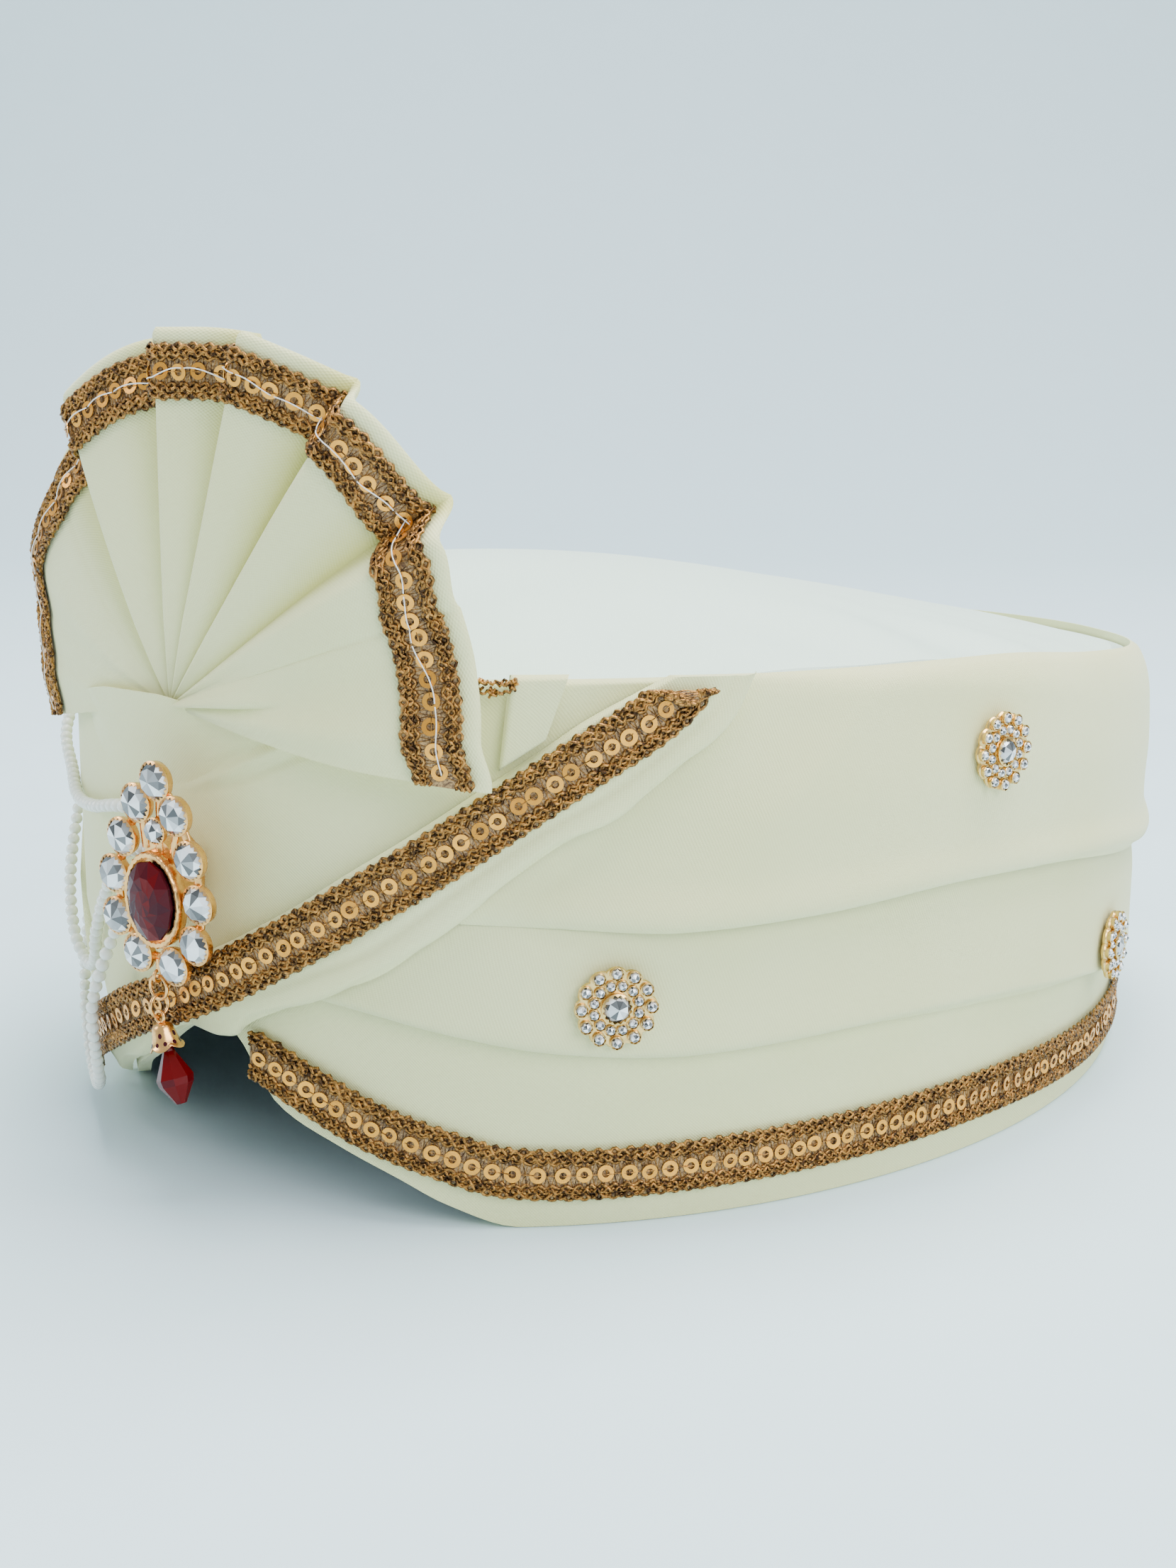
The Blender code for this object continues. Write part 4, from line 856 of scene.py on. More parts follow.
# The stage
def make_stage(context):
    """Camera, floor and soft light."""
    scene = context.scene
    phi, rise = math.radians(CAMERA_ROUND), math.radians(CAMERA_RISE)
    back = Vector((math.sin(phi) * math.cos(rise), -math.cos(phi) * math.cos(rise), math.sin(rise)))
    right = Vector((math.cos(phi), math.sin(phi), 0))
    up = back.cross(right)
    target = CENTRE + right * CAMERA_ASIDE + Vector((0, 0, CAMERA_LOOK_HEIGHT))
    lens = bpy.data.cameras.new("photo camera")
    lens.sensor_width = SENSOR
    lens.lens = CAMERA_FOCAL / PHOTO_TALL * SENSOR
    lens.clip_start, lens.clip_end = 0.02, 50
    camera = bpy.data.objects.new("photo camera", lens)
    pose = Matrix((right, up, back)).transposed().to_4x4()
    pose.translation = target + back * CAMERA_DISTANCE
    camera.matrix_world = pose
    scene.collection.objects.link(camera)
    scene.camera = camera

    work = bmesh.new()
    profile = [(FLOOR_FRONT, 0.0), (FLOOR_BACK, 0.0)]
    for a in range(1, 13):
        bend = a * math.pi / 24
        profile.append((FLOOR_BACK + FLOOR_BEND * math.sin(bend), FLOOR_BEND - FLOOR_BEND * math.cos(bend)))
    profile.append((FLOOR_BACK + FLOOR_BEND, FLOOR_TOP))
    turn = Matrix.Rotation(phi, 4, "Z")
    rows = []
    for side in (-FLOOR_HALF, FLOOR_HALF):
        rows.append([work.verts.new(turn @ Vector((side, along, height - FLOOR_DROP)))
                     for along, height in profile])
    for i in range(len(profile) - 1):
        work.faces.new((rows[0][i], rows[1][i], rows[1][i + 1], rows[0][i + 1]))
    mesh = bpy.data.meshes.new("floor")
    work.to_mesh(mesh)
    work.free()
    mesh.shade_smooth()
    made, tree, shader = finish("pale floor", {"Specular IOR Level": 0.2})
    grain = noise(tree, object_place(tree), 40, 3)
    pale = mix_colour(tree, grain, (0.62, 0.78, 0.85), (0.64, 0.795, 0.865))
    tree.links.new(pale, shader.inputs["Base Color"])
    tree.links.new(spread(tree, grain, 0.3, 0.7, 0.45, 0.6), shader.inputs["Roughness"])
    mesh.materials.append(made)
    floor = bpy.data.objects.new("floor", mesh)
    scene.collection.objects.link(floor)

    world = bpy.data.worlds.new("soft room")
    world.use_nodes = True
    background = world.node_tree.nodes["Background"]
    background.inputs["Color"].default_value = (0.85, 0.965, 1.0, 1)
    background.inputs["Strength"].default_value = 0.78
    scene.world = world
    lights = (("top softbox", (0.15, 0.25, 1.4), 1.2, 51.0), ("left softbox", (-1.1, -1.0, 0.8), 0.7, 12.0),
              ("right softbox", (1.4, -0.3, 0.9), 0.9, 18.0))
    for name, place, size, power in lights:
        lamp = bpy.data.lights.new(name, "AREA")
        lamp.shape = "SQUARE"
        lamp.size = size
        lamp.energy = power
        holder = bpy.data.objects.new(name, lamp)
        holder.location = place
        holder.rotation_euler = (Vector((0, 0, 0.05)) - Vector(place)).to_track_quat("-Z", "Y").to_euler()
        scene.collection.objects.link(holder)


# The cloth
def crown_height(x, y):
    """Height of the crown's cloth above a place in plan, measured from the rim's centre."""
    across = x / RIM_HALF_WIDTH
    along = y / RIM_HALF_LENGTH
    out = min(1.0, math.hypot(across, along))
    angle = math.degrees(math.acos(max(-1.0, min(1.0, -along))))
    dome = CROWN_RISE * (1 - along / 3) * (1 - out ** 2)
    side = math.degrees(math.atan2(across, -along)) if out > 0.01 else 180.0
    puff = 0.0034 * hump(along, -0.42, 0.36) * (1 - out ** 2)
    dip = 0.0024 * hump(out, 0.93, 0.045) * hump(side, 30, 24)
    return top_edge(angle) - CROWN_DROP + dome + puff - dip


def crown_dimple(x, y):
    """Loose gathers of the crown's satin, strongest towards the front edge."""
    out = math.hypot(x / RIM_HALF_WIDTH, y / RIM_HALF_LENGTH)
    turn = math.atan2(x, -y)
    edge = smooth((out - 0.45) / 0.4) * smooth((1.0 - out) / 0.06)
    gathers = math.sin(9 * turn + 5 * out + 1.2 * math.sin(4 * turn)) + 0.6 * math.sin(17 * turn - 9 * out)
    front = smooth(0.6 - y / RIM_HALF_LENGTH)
    return 0.0007 * edge * gathers * (0.4 + front) + 0.0006 * math.sin(31 * x + 1.1) * math.sin(27 * y + 0.4)


def make_cap():
    sides, wall_rings, crown_rings = 288, 22, 30
    work = bmesh.new()
    flat = work.loops.layers.uv.new("Flat")
    angles = [360.0 * i / sides for i in range(sides)]

    def shell(stand, drop, lining):
        rings, maps = [], []
        for k in range(wall_rings + 1):
            share = k / wall_rings
            ring, places = [], []
            for angle in angles:
                flat_place = wall(angle, 0, stand) - CENTRE
                edge = crown_height(flat_place.x, flat_place.y) - drop
                height = blend(rim_edge(angle), edge, share)
                puff = 0.0 if lining else 0.0004 * waves(angle * arc_per_degree(90), height) * smooth(
                    share / 0.1) * smooth((0.5 - share) / 0.2)
                ring.append(work.verts.new(wall(angle, height, stand + min(0.0, puff))))
                places.append((angle * MAP_PER_DEGREE, height))
            rings.append(ring)
            maps.append(places)
        for k in range(1, crown_rings):
            share = 1 - k / crown_rings
            ring, places = [], []
            for angle in angles:
                spot = (wall(angle, WALL_HEIGHT, stand) - CENTRE) * share
                height = crown_height(spot.x, spot.y) - drop
                if not lining:
                    height += crown_dimple(spot.x, spot.y)
                ring.append(work.verts.new(CENTRE + Vector((spot.x, spot.y, height))))
                places.append((spot.x, spot.y))
            rings.append(ring)
            maps.append(places)
        for k, (low, high) in enumerate(zip(rings, rings[1:])):
            for i in range(sides):
                j = (i + 1) % sides
                made = work.faces.new((low[i], low[j], high[j], high[i]))
                made.material_index = 2 if lining else (1 if k >= wall_rings - 1 else 0)
                on_crown = k >= wall_rings
                for loop, (row, place) in zip(made.loops, ((k, i), (k, i + 1), (k + 1, i + 1), (k + 1, i))):
                    u, v = maps[row if on_crown or row <= wall_rings else wall_rings][place % sides]
                    if not on_crown and place == sides:
                        u += 360 * MAP_PER_DEGREE
                    loop[flat].uv = (u, v)
        tip = work.verts.new(CENTRE + Vector((0, 0, crown_height(0, 0) - drop + (
            0 if lining else crown_dimple(0, 0)))))
        for i in range(sides):
            made = work.faces.new((rings[-1][i], rings[-1][(i + 1) % sides], tip))
            made.material_index = 2 if lining else 1
            for loop in made.loops:
                spot = loop.vert.co - CENTRE
                loop[flat].uv = (spot.x, spot.y)
        return rings

    outer, inner = shell(0, 0, False), shell(-CAP_WALL, CAP_WALL, True)
    for i in range(sides):
        j = (i + 1) % sides
        made = work.faces.new((inner[0][i], inner[0][j], outer[0][j], outer[0][i]))
        for loop in made.loops:
            loop[flat].uv = (loop.vert.co.x, loop.vert.co.y)
    mesh = mesh_of("cap_cloth", work, "ivory cloth", 50)
    mesh.materials.append(finish_named("crown satin"))
    mesh.materials.append(finish_named("cap lining"))
    piece = add_piece("cap_cloth", mesh, "cap_shell", slot="crown_cloth")


def end_share(share):
    """Cloth thins towards both ends of a wrap, where it passes under the sashes."""
    thin, fade = 0.02, 0.05
    nearest = min(share, 1 - share)
    return clamp(max(0.0, nearest - thin) / fade)


def hump(value, centre, width):
    return math.exp(-((value - centre) / width) ** 2)


def quarter_round(share):
    return math.sqrt(1 - (1 - clamp(share)) ** 2)


def rounded(up, nose, top):
    """Share of a fold's thickness: a round lip below and a softer one above."""
    return quarter_round(up / nose) * quarter_round((1 - up) / top)


def make_lower_band(scene):
    ripple = scene.turban_cloth.ripple
    low_ends, high_ends = (9.0, 318.0), (29.0, 310.0)

    def at(along, up, face):
        low_angle, high_angle = blend(*low_ends, along), blend(*high_ends, along)
        low = level(LOWER_FOLD_LINE, signed(low_angle), True) * WALL_HEIGHT
        high = level(UPPER_FOLD_LINE, signed(high_angle), True) * WALL_HEIGHT + FOLD_OVERLAP
        angle, height = blend(low_angle, high_angle, up), blend(low, high, up)
        full = blend(END_THIN / LOWER_FOLD, 1.0, end_share(along))
        if not face:
            return wall(angle, height, LAYER_GAP)
        run = angle * arc_per_degree(90)
        lip = 0.0009 * math.sin(19 * run * 2 + 1.0) * (1 - smooth(up / 0.3)) * full
        body = blend(1.0, 0.55, smooth((up - 0.55) / 0.45))
        thick = LOWER_FOLD * full * (0.12 + 0.88 * rounded(up, 0.06, 0.08) * body)
        wave = ripple * waves(run, height) * full * smooth(up / 0.1) * smooth((1 - up) / 0.3)
        return wall(angle, height + lip, LAYER_GAP + thick + wave)

    mesh = cloth_shell("lower_wrap", at, 460, 30)
    add_piece("lower_wrap", mesh, "lower_band", slot="ivory_cloth")


def make_upper_band(scene):
    ripple = scene.turban_cloth.ripple
    low_ends, high_ends = (31.5, 311.5), (54.5, 301.0)

    def at(along, up, face):
        low_angle, high_angle = blend(*low_ends, along), blend(*high_ends, along)
        low = level(UPPER_FOLD_LINE, signed(low_angle), True) * WALL_HEIGHT
        angle, height = blend(low_angle, high_angle, up), blend(low, top_edge(high_angle), up)
        thin = end_share(along)
        lap = 2 * LAYER_GAP + LOWER_FOLD * blend(END_THIN / LOWER_FOLD, 1.0, thin)
        full = blend(END_THIN / UPPER_FOLD, 1.0, thin)
        seat = blend(lap, LAYER_GAP, level(((0.04, 0), (0.20, 0.8), (0.40, 1)), up))
        if not face:
            return wall(angle, height, seat)
        run = angle * arc_per_degree(90)
        lip = 0.0010 * math.sin(31 * run + 0.5) * (1 - smooth(up / 0.25)) * full
        body = level(((0, 0.42), (0.20, 0.80), (0.5, 1.04), (0.86, 0.86), (1.0, 0.75)), up)
        top = blend(0.10, 0.26, smooth((abs(signed(angle)) - 72) / 34))
        thick = UPPER_FOLD * full * (0.06 + 0.94 * rounded(up, 0.035, top) * body)
        wave = 1.3 * ripple * waves(run * 0.8, height) * full * smooth(up / 0.1) * smooth((1 - up) / 0.12)
        return wall(angle, height + lip, seat + thick + wave)

    mesh = cloth_shell("upper_wrap", at, 440, 44)
    add_piece("upper_wrap", mesh, "upper_band", slot="ivory_cloth")


def sash_edge(angle):
    return level([Level(row.high_angle, row.high) for row in SASH_ROWS], angle) * WALL_HEIGHT


def make_front_panel():
    low_ends, high_ends, under = (-29.0, 43.0), (-49.0, 53.0), 0.0036

    def at(along, up, face):
        low_angle, high_angle = blend(*low_ends, along), blend(*high_ends, along)
        angle = blend(low_angle, high_angle, up)
        height = blend(sash_edge(low_angle) - under, top_edge(high_angle), up)
        if not face:
            return wall(angle, height, PANEL_SEAT)
        thick = CLOTH * (0.25 + 0.75 * rounded(up, 0.02, 0.05) * rounded(along, 0.02, 0.02))
        draw = 0.0
        for slope, start, depth in ((1.5, 27.0, 0.00055), (1.7, 31.5, 0.0006), (2.0, 36.0, 0.0005)):
            line = angle - start + slope * (WALL_HEIGHT * 1.02 - height) / 0.01
            draw -= depth * hump(line, 0, 1.1) * smooth((height - 0.073) / 0.008)
        off = 0.00071 * (angle - 9.0 - (height - 0.076) / 0.00079)
        span = smooth((height - 0.0715) / 0.004) * smooth((0.0870 - height) / 0.002)
        sides = hump(off, 0.0021, 0.0009) + hump(off, -0.0021, 0.0009)
        draw += (0.0008 * hump(off, 0, 0.0009) - 0.00045 * sides) * span
        wave = 0.00018 * waves(angle * 0.0016, height)
        return wall(angle, height, PANEL_SEAT + thick + draw + wave)

    mesh = cloth_shell("front_cloth", at, 300, 100)
    sheet(add_piece("front_cloth", mesh, "front_panel", slot="ivory_cloth"))


def make_pleat_cover():
    """The front cloth turned up over the roots of the pleats."""
    edge_line = ((-20, 0.0835), (-13, 0.0862), (-6, 0.0882), (1, 0.0886), (6, 0.0868), (11, 0.0815))
    foot_line = ((-20, 0.0720), (-6, 0.0680), (4, 0.0680), (11, 0.0730))
    panel_face = PANEL_SEAT + CLOTH

    def at(along, up, face):
        angle = blend(-20.0, 10.5, along)
        height = blend(level(foot_line, angle), level(edge_line, angle), up)
        ends = smooth(along / 0.35) * smooth((1 - along) / 0.35)
        swell = up ** 1.6 * ends
        stand = blend(panel_face - 0.0005, panel_face + 0.0036, swell)
        edge = quarter_round((1 - up) / 0.05)
        if not face:
            return wall(angle, height, stand - 0.0003 - 0.0007 * edge)
        return wall(angle, height, stand + 0.00012 * waves(angle * 0.0016, height))

    mesh = cloth_shell("pleat_cover", at, 90, 36)
    sheet(add_piece("pleat_cover", mesh, "fan_knot", slot="ivory_cloth"))


def row_at(rows, along):
    """A sash's row at a share along it, on a smooth curve through its table."""
    place = along * (len(rows) - 1)
    index = min(int(place), len(rows) - 2)
    t = place - index
    values = []
    for k in range(5):
        before = rows[max(0, index - 1)][k]
        first, second = rows[index][k], rows[index + 1][k]
        after = rows[min(len(rows) - 1, index + 2)][k]
        bend = 2 * before - 5 * first + 4 * second - after
        twist = 3 * first - before - 3 * second + after
        values.append(0.5 * (2 * first + (second - before) * t + bend * t ** 2 + twist * t ** 3))
    return Crossing(*values)


def make_sash(name, node, rows, count, scallop):
    def at(along, up, face):
        row = row_at(rows, along)
        angle = blend(row.low_angle, row.high_angle, up)
        height = blend(row.low, row.high, up) * WALL_HEIGHT
        seat = blend(row.seat * SASH_SEAT, SASH_SEAT, level(((0, 0), (0.5, 1)), up))
        if not face:
            return wall(angle, height, seat)
        body = level(((0, 0.9), (0.08, 1.0), (0.52, 0.86), (0.94, 0.82), (1, 0.6)), up)
        thick = SASH_CLOTH * (0.10 + 0.90 * rounded(up, 0.07, 0.06) * body)
        lip = scallop * math.sin(FULL_TURN * 7.3 * along + 0.7) * (1 - smooth(up / 0.2))
        lip *= smooth(along / 0.3)
        draw = -0.0004 * hump(up, 0.27, 0.05) * smooth((along - 0.4) / 0.1)
        return wall(angle, height + lip, seat + thick + draw + 0.00012 * waves(angle * 0.0017, height))

    mesh = cloth_shell(name, at, count, 26)
    sheet(add_piece(name, mesh, node, slot="ivory_cloth"))


def make_strip_end():
    """The folded strip behind the fan's near wing, with a cut bit of lace along its top."""
    low_ends, high_ends, lift = (36.5, 40.5), (37.5, 42.5), 0.0012
    seat = SASH_SEAT + SEAT_GAP

    def at(along, up, face):
        low_angle, high_angle = blend(*low_ends, along), blend(*high_ends, along)
        angle = blend(low_angle, high_angle, up)
        height = blend(sash_edge(low_angle), top_edge(high_angle), up) + lift
        if not face:
            return wall(angle, height, seat)
        body = quarter_round(along / 0.15) * rounded(up, 0.05, 0.06)
        return wall(angle, height, seat + CLOTH * (0.15 + 0.85 * body))

    mesh = cloth_shell("strip_end", at, 24, 30)
    add_piece("strip_end", mesh, "tuck_strip", slot="ivory_cloth")
    chance = random.Random(5)
    lines = []
    for k in range(16):
        angle = 34.6 + 3.2 * chance.random()
        height = top_edge(angle) - 0.0016 + 0.0022 * chance.random()
        spin = chance.random() * math.pi
        line = []
        for s in range(7):
            reach = 0.0005 * (s - 3) * 0.9
            aside = reach * math.cos(spin) / MAP_PER_DEGREE
            rise = 0.35 * reach * math.sin(spin) + 0.0003 * math.sin(s * 2.1 + k)
            line.append(wall(angle + aside, height + rise,
                             SASH_SEAT + CLOTH + 0.0006 + 0.0004 * math.sin(s * 1.7 + k)))
        lines.append(line)
    sew("cut_lace_end", lines, 0.00026, 5)


# The fan
def fan_base(across):
    """How far the flat of the fan stands out: it rides over the front sash on the near side."""
    panel = PANEL_SEAT + CLOTH + SEAT_GAP + FAN_CLOTH / 2
    sash = SASH_SEAT + SASH_CLOTH + LAYER_GAP + BRAID_THICK + LAYER_GAP + FAN_CLOTH
    return blend(panel, sash, smooth((across - 0.1 * FAN_RADIUS) / (0.6 * FAN_RADIUS)))


def pleat_at(share):
    """Spread, depth and reach at a share across the fan. A ridge is tight and the panel after it bulges."""
    place = share * (len(PLEATS) - 1)
    index = min(int(place), len(PLEATS) - 2)
    t = place - index
    first, second = PLEATS[index], PLEATS[index + 1]
    spread_at, reach = blend(first.spread, second.spread, t), blend(first.reach, second.reach, smooth(t))
    if index in FAN_RIDGES:
        depth = blend(first.depth, second.depth, 1 - math.sqrt(1 - t ** 2) * 0.45 - 0.55 * (1 - t))
    else:
        depth = blend(first.depth, second.depth, smooth(t))
    return Pleat(spread_at, depth, reach)


def fan_place(share, radius):
    """A point of the fan's middle layer."""
    pleat = pleat_at(share)
    angle_out = math.radians(pleat.spread)
    across, up = radius * math.sin(angle_out), radius * math.cos(angle_out)
    out = radius / FAN_RADIUS
    lap = 0.0020 * smooth((85 - pleat.spread) / 2.5) * smooth((pleat.spread - 66) / 15) * smooth(
        out / 0.06) * smooth((0.46 - out) / 0.22)
    wave = 0.0012 * hump(pleat.spread, 92, 6) * smooth(out / 0.3) * smooth((0.9 - out) / 0.3)
    stand = (fan_base(across) + PLEAT_DEPTH * pleat.depth * out ** 0.85 - FAN_LEAN * max(0.0, up) / FAN_RADIUS
             + FAN_FAR_STAND * max(0.0, -across / FAN_RADIUS) ** 2 + lap + wave)
    angle = FAN_ANGLE + across / ((RIM_HALF_WIDTH + stand) * math.pi / 180)
    return wall(angle, FAN_HEIGHT + up, stand)


def fan_lifted(share, radius, lift):
    """A point lifted off the fan's middle layer along its own normal."""
    step, reach = 0.0012, 0.0004
    here = fan_place(share, radius)
    low, high = max(0.0, share - step), min(1.0, share + step)
    side = fan_place(high, radius) - fan_place(low, radius)
    rise = fan_place(share, radius + reach) - fan_place(share, radius - reach)
    normal = side.cross(rise)
    if normal.length < 1e-12:
        normal = Vector((0, -1, 0))
    normal.normalize()
    if normal.y > 0.15:
        normal = -normal
    return here + normal * lift


def make_fan():
    def at(along, up, face):
        radius = blend(0.0006, pleat_at(along).reach * FAN_RADIUS, up)
        roll = hump(up, 0.975, 0.018)
        edge = quarter_round((1 - up) / 0.02)
        half = FAN_CLOTH / 2 * (0.62 + 0.38 * roll) * (0.15 + 0.85 * edge) * min(1.0, 0.25 + radius / 0.02)
        return fan_lifted(along, radius, half if face else -half)

    count, rows = 18 * 16, 84
    mesh = cloth_shell("fan_cloth", at, count, rows)
    # Painted shade: the fold attribute marks the pleat valleys, more towards the fan's edge, and the cloth
    # finish darkens them with a warm shade.
    pleats = [pleat_at(i / count) for i in range(count + 1)]
    deep = [clamp((0.62 - pleat.depth) / 0.8) * smooth((pleat.spread + 60) / 20)
            * smooth((75 - pleat.spread) / 15) for pleat in pleats]
    shade = [column * (0.5 + 0.5 * j / rows) for column in deep for j in range(rows + 1)]
    mesh.attributes.new("fold", "FLOAT", "POINT")
    mesh.attributes["fold"].data.foreach_set("value", shade + shade)
    add_piece("fan_cloth", mesh, "fan", slot="ivory_cloth")


# The lace
def path_table(point_at, start, end, count):
    """Lengths along a path, to find its parameter from a length."""
    values = [blend(start, end, i / count) for i in range(count + 1)]
    points = [point_at(v) for v in values]
    lengths = [0.0]
    for a, b in zip(points, points[1:]):
        lengths.append(lengths[-1] + (b - a).length)
    return values, lengths


def at_length(table, length):
    values, lengths = table
    length = max(0.0, min(lengths[-1], length))
    index = min(bisect_right(lengths, length) - 1, len(values) - 2)
    span = lengths[index + 1] - lengths[index]
    return blend(values[index], values[index + 1], (length - lengths[index]) / span if span else 0.0)


def wall_lace(rows, start, end, seat):
    """Where a lace sewn along a path on the wall puts a point, and how long it is."""
    table = path_table(lambda v: wall(v, level(rows, v) * WALL_HEIGHT, seat), start, end, 900)

    def place(length, across, lift):
        angle = at_length(table, length)
        nudge = 0.4
        rise = (level(rows, angle + nudge) - level(rows, angle - nudge)) * WALL_HEIGHT
        slope = math.atan2(rise, 2 * nudge * arc_per_degree(angle))
        aside = -across * math.sin(slope) / arc_per_degree(angle)
        height = level(rows, angle) * WALL_HEIGHT + across * math.cos(slope)
        over = max(0.0, height - top_edge(angle + aside) + 0.0012)
        return wall(angle + aside, height - 1.3 * over, seat + lift + min(0.0005, 0.3 * over))

    return place, table[1][-1]


def fan_lace():
    def middle(share):
        return pleat_at(share).reach * FAN_RADIUS - FAN_HEM - BRAID_WIDTH / 2

    table = path_table(lambda v: fan_lifted(v, middle(v), FAN_CLOTH / 2), 0.0, 1.0, 1200)

    def place(length, across, lift):
        share = at_length(table, length)
        return fan_lifted(share, middle(share) + across, FAN_CLOTH / 2 + 0.0001 + lift)

    return place, table[1][-1]


def sequin_mesh(size):
    """A flat ring sequin about its own origin."""
    sides, thick = 18, 0.00012
    corners = ((size / 2, 0), (size / 2, thick), (size * 0.235, thick), (size * 0.235, 0))
    loops = [circle(radius, height, sides) for radius, height in corners]
    return rings_mesh("sequin", loops, "sequin gold", 30, closed=True)


def lace_spot(place, length, lift, tilt, chance):
    """A frame on a lace: X along it, Z off it, with a small chance tilt."""
    step = 0.0004
    along = (place(length + step, 0, lift) - place(length - step, 0, lift)).normalized()
    across = (place(length, step, lift) - place(length, -step, lift)).normalized()
    normal = along.cross(across).normalized()
    across = normal.cross(along)
    made = Matrix((along, across, normal)).transposed().to_4x4()
    made.translation = place(length, chance.uniform(-0.0002, 0.0002), lift)
    return (made @ Matrix.Rotation(chance.uniform(-tilt, tilt), 4, "X")
            @ Matrix.Rotation(chance.uniform(-tilt, tilt), 4, "Y"))


def make_lace(scene, name, node, place, length, seed, bare=0.002):
    """Borders of crimped metal yarn, a net between them and ring sequins on a thread."""
    lace = scene.turban_lace
    chance = random.Random(seed)
    half = BRAID_WIDTH / 2
    lines = []
    count = int(length / YARN_STEP)
    for side in (-1, 1):
        for strand in BORDER_STRANDS:
            line = []
            for i in range(count + 1):
                s = length * i / count
                beat = FULL_TURN * s / (strand.length * MM) + strand.phase + 0.5 * math.sin(s * 410 + side)
                inset = half - strand.inset * MM - strand.sway * MM * math.sin(beat)
                line.append(place(s, side * inset, strand.lift * MM + 0.00018 * math.cos(2 * beat)))
            lines.append(line)
    sew(name, lines, lace.yarn, 4)

    ladder = []
    inner = half - 2.3 * MM
    for i in range(int(length / NET_RUNG)):
        s = NET_RUNG * (i + 0.5)
        for lean in (-1, 1):
            ladder.append([place(s + lean * 0.42 * NET_RUNG * k, inner * k, 0.00032) for k in (-1, 0, 1)])
    sew(name + "_net_threads", ladder, NET_THREAD, 3)

    def net(along, up, face):
        return place(along * length, blend(-half + 0.0005, half - 0.0005, up), 0.0003 if face else 0.00005)

    ground = cloth_shell(name + "_ground", net, max(60, int(length / 0.0014)), 4, "lace net")
    add_piece(name + "_ground", ground, node, slot="gold_braid")

    spots, thread = [], []
    s = 0.0022
    while s < length - bare:
        spots.append((lace_spot(place, s, SEQUIN_LIFT, 0.16, chance), chance.uniform(0.95, 1.05)))
        thread += [place(s - 0.0012, 0, 0.0006), place(s, 0, 0.00085), place(s + 0.0012, 0, 0.0006)]
        s += lace.pitch * chance.uniform(0.88, 1.28)
    rings = copies(name + "_sequins", spots, sequin_mesh(lace.sequin), "sequin gold")
    add_piece(name + "_sequins", rings, slot="gold_metal")
    sew(name + "_thread", [thread], SEQUIN_THREAD, 4)


def make_running_stitch(place, length):
    """White thread in long running stitches down the middle of the fan's lace."""
    chance = random.Random(12)
    lines, s, aside = [], 0.001, -0.0003
    while s < length - 0.004:
        run = chance.uniform(0.006, 0.011)
        stop = min(s + run, length - 0.002)
        after = chance.uniform(-0.0012, 0.0007)
        line = []
        for k in range(13):
            share = k / 12
            bow = math.sin(math.pi * share)
            across = blend(aside, after, smooth(share)) + 0.0003 * bow
            line.append(place(blend(s, stop, share), across, 0.0009 + 0.00035 * bow))
        lines.append(line)
        s, aside = stop + 0.0005, after
    sew("running_stitch", lines, SEQUIN_THREAD, 5, "ivory_cloth", "white thread")


# Stones and metal
def paint_facet_light(mesh, rule):
    """Gives each face its painted light for the stone finishes: painted reflections and painted shade."""
    lighting = mesh.attributes.new("lighting", "FLOAT", "FACE")
    for face in mesh.polygons:
        lighting.data[face.index].value = clamp(rule(face))


def cut_stone(size, deep, sides, seed):
    """A clear stone about its own origin: girdle, small facets round it and long facets to the middle."""
    half = size / 2
    work = bmesh.new()
    steps = ((0.86, -0.25, 0), (1, 0, 0), (0.72, 0.66, math.pi / sides))
    low, girdle, crown = ([work.verts.new(p) for p in circle(share * half, height * deep, sides, turn)]
                          for share, height, turn in steps)
    tip = work.verts.new((0.04 * half, 0.05 * half, deep))
    for i in range(sides):
        j = (i + 1) % sides
        work.faces.new((low[i], low[j], girdle[j], girdle[i]))
        work.faces.new((girdle[i], girdle[j], crown[i]))
        work.faces.new((girdle[j], crown[j], crown[i]))
        work.faces.new((crown[i], crown[j], tip))
    work.faces.new(low[::-1])
    mesh = mesh_of("stone", work, "clear stone", 1)
    mesh.shade_flat()
    # Painted reflections: each facet gets a random light level, from dark to light.
    chance = random.Random(seed)
    picks = [chance.choice(PAINTED_FACET_LIGHT) for _ in mesh.polygons]
    paint_facet_light(mesh, lambda face: picks[face.index])
    return mesh


def toothed_cup(size, deep, teeth, material):
    """A stone's cup whose rim is cut into teeth that bend in over the stone."""
    half = size / 2

    def ring(share, height, tooth=0.0, rise=0.0):
        points = []
        for i in range(teeth * 4):
            at_tooth = (1.0, 0.45, 0.0, 0.45)[i % 4]
            reach = share * half - tooth * half * at_tooth
            points.append((*polar(reach, FULL_TURN * i / (teeth * 4)), (height + rise * at_tooth) * deep))
        return points

    loops = [ring(0.84, 0), ring(0.93, 0.2), ring(0.98, 0.8, -0.015), ring(0.99, 1, -0.01),
             ring(0.95, 1.06, 0.14, 0.12), ring(0.93, 0.98, 0.14, 0.12), ring(0.84, 0.55)]
    return rings_mesh("cup", loops, material, 40)


def moved(mesh, matrix):
    mesh.transform(matrix)
    return mesh


def wire_ring(size, hole_axis, centre=(0, 0, 0)):
    """A closed ring of round wire whose hole looks along an axis."""
    around, sides = 40, 10
    loops = []
    for i in range(around):
        spin = FULL_TURN * i / around
        loop = []
        for k in range(sides):
            reach, aside = polar(WIRE / 2, FULL_TURN * k / sides)
            out, over = polar((size - WIRE) / 2 + reach, spin)
            spot = (aside, over, out) if hole_axis == "X" else (out, over, aside)
            loop.append([c + o for c, o in zip(centre, spot)])
        loops.append(loop)
    return rings_mesh("ring", loops, "brooch gold", closed=True)


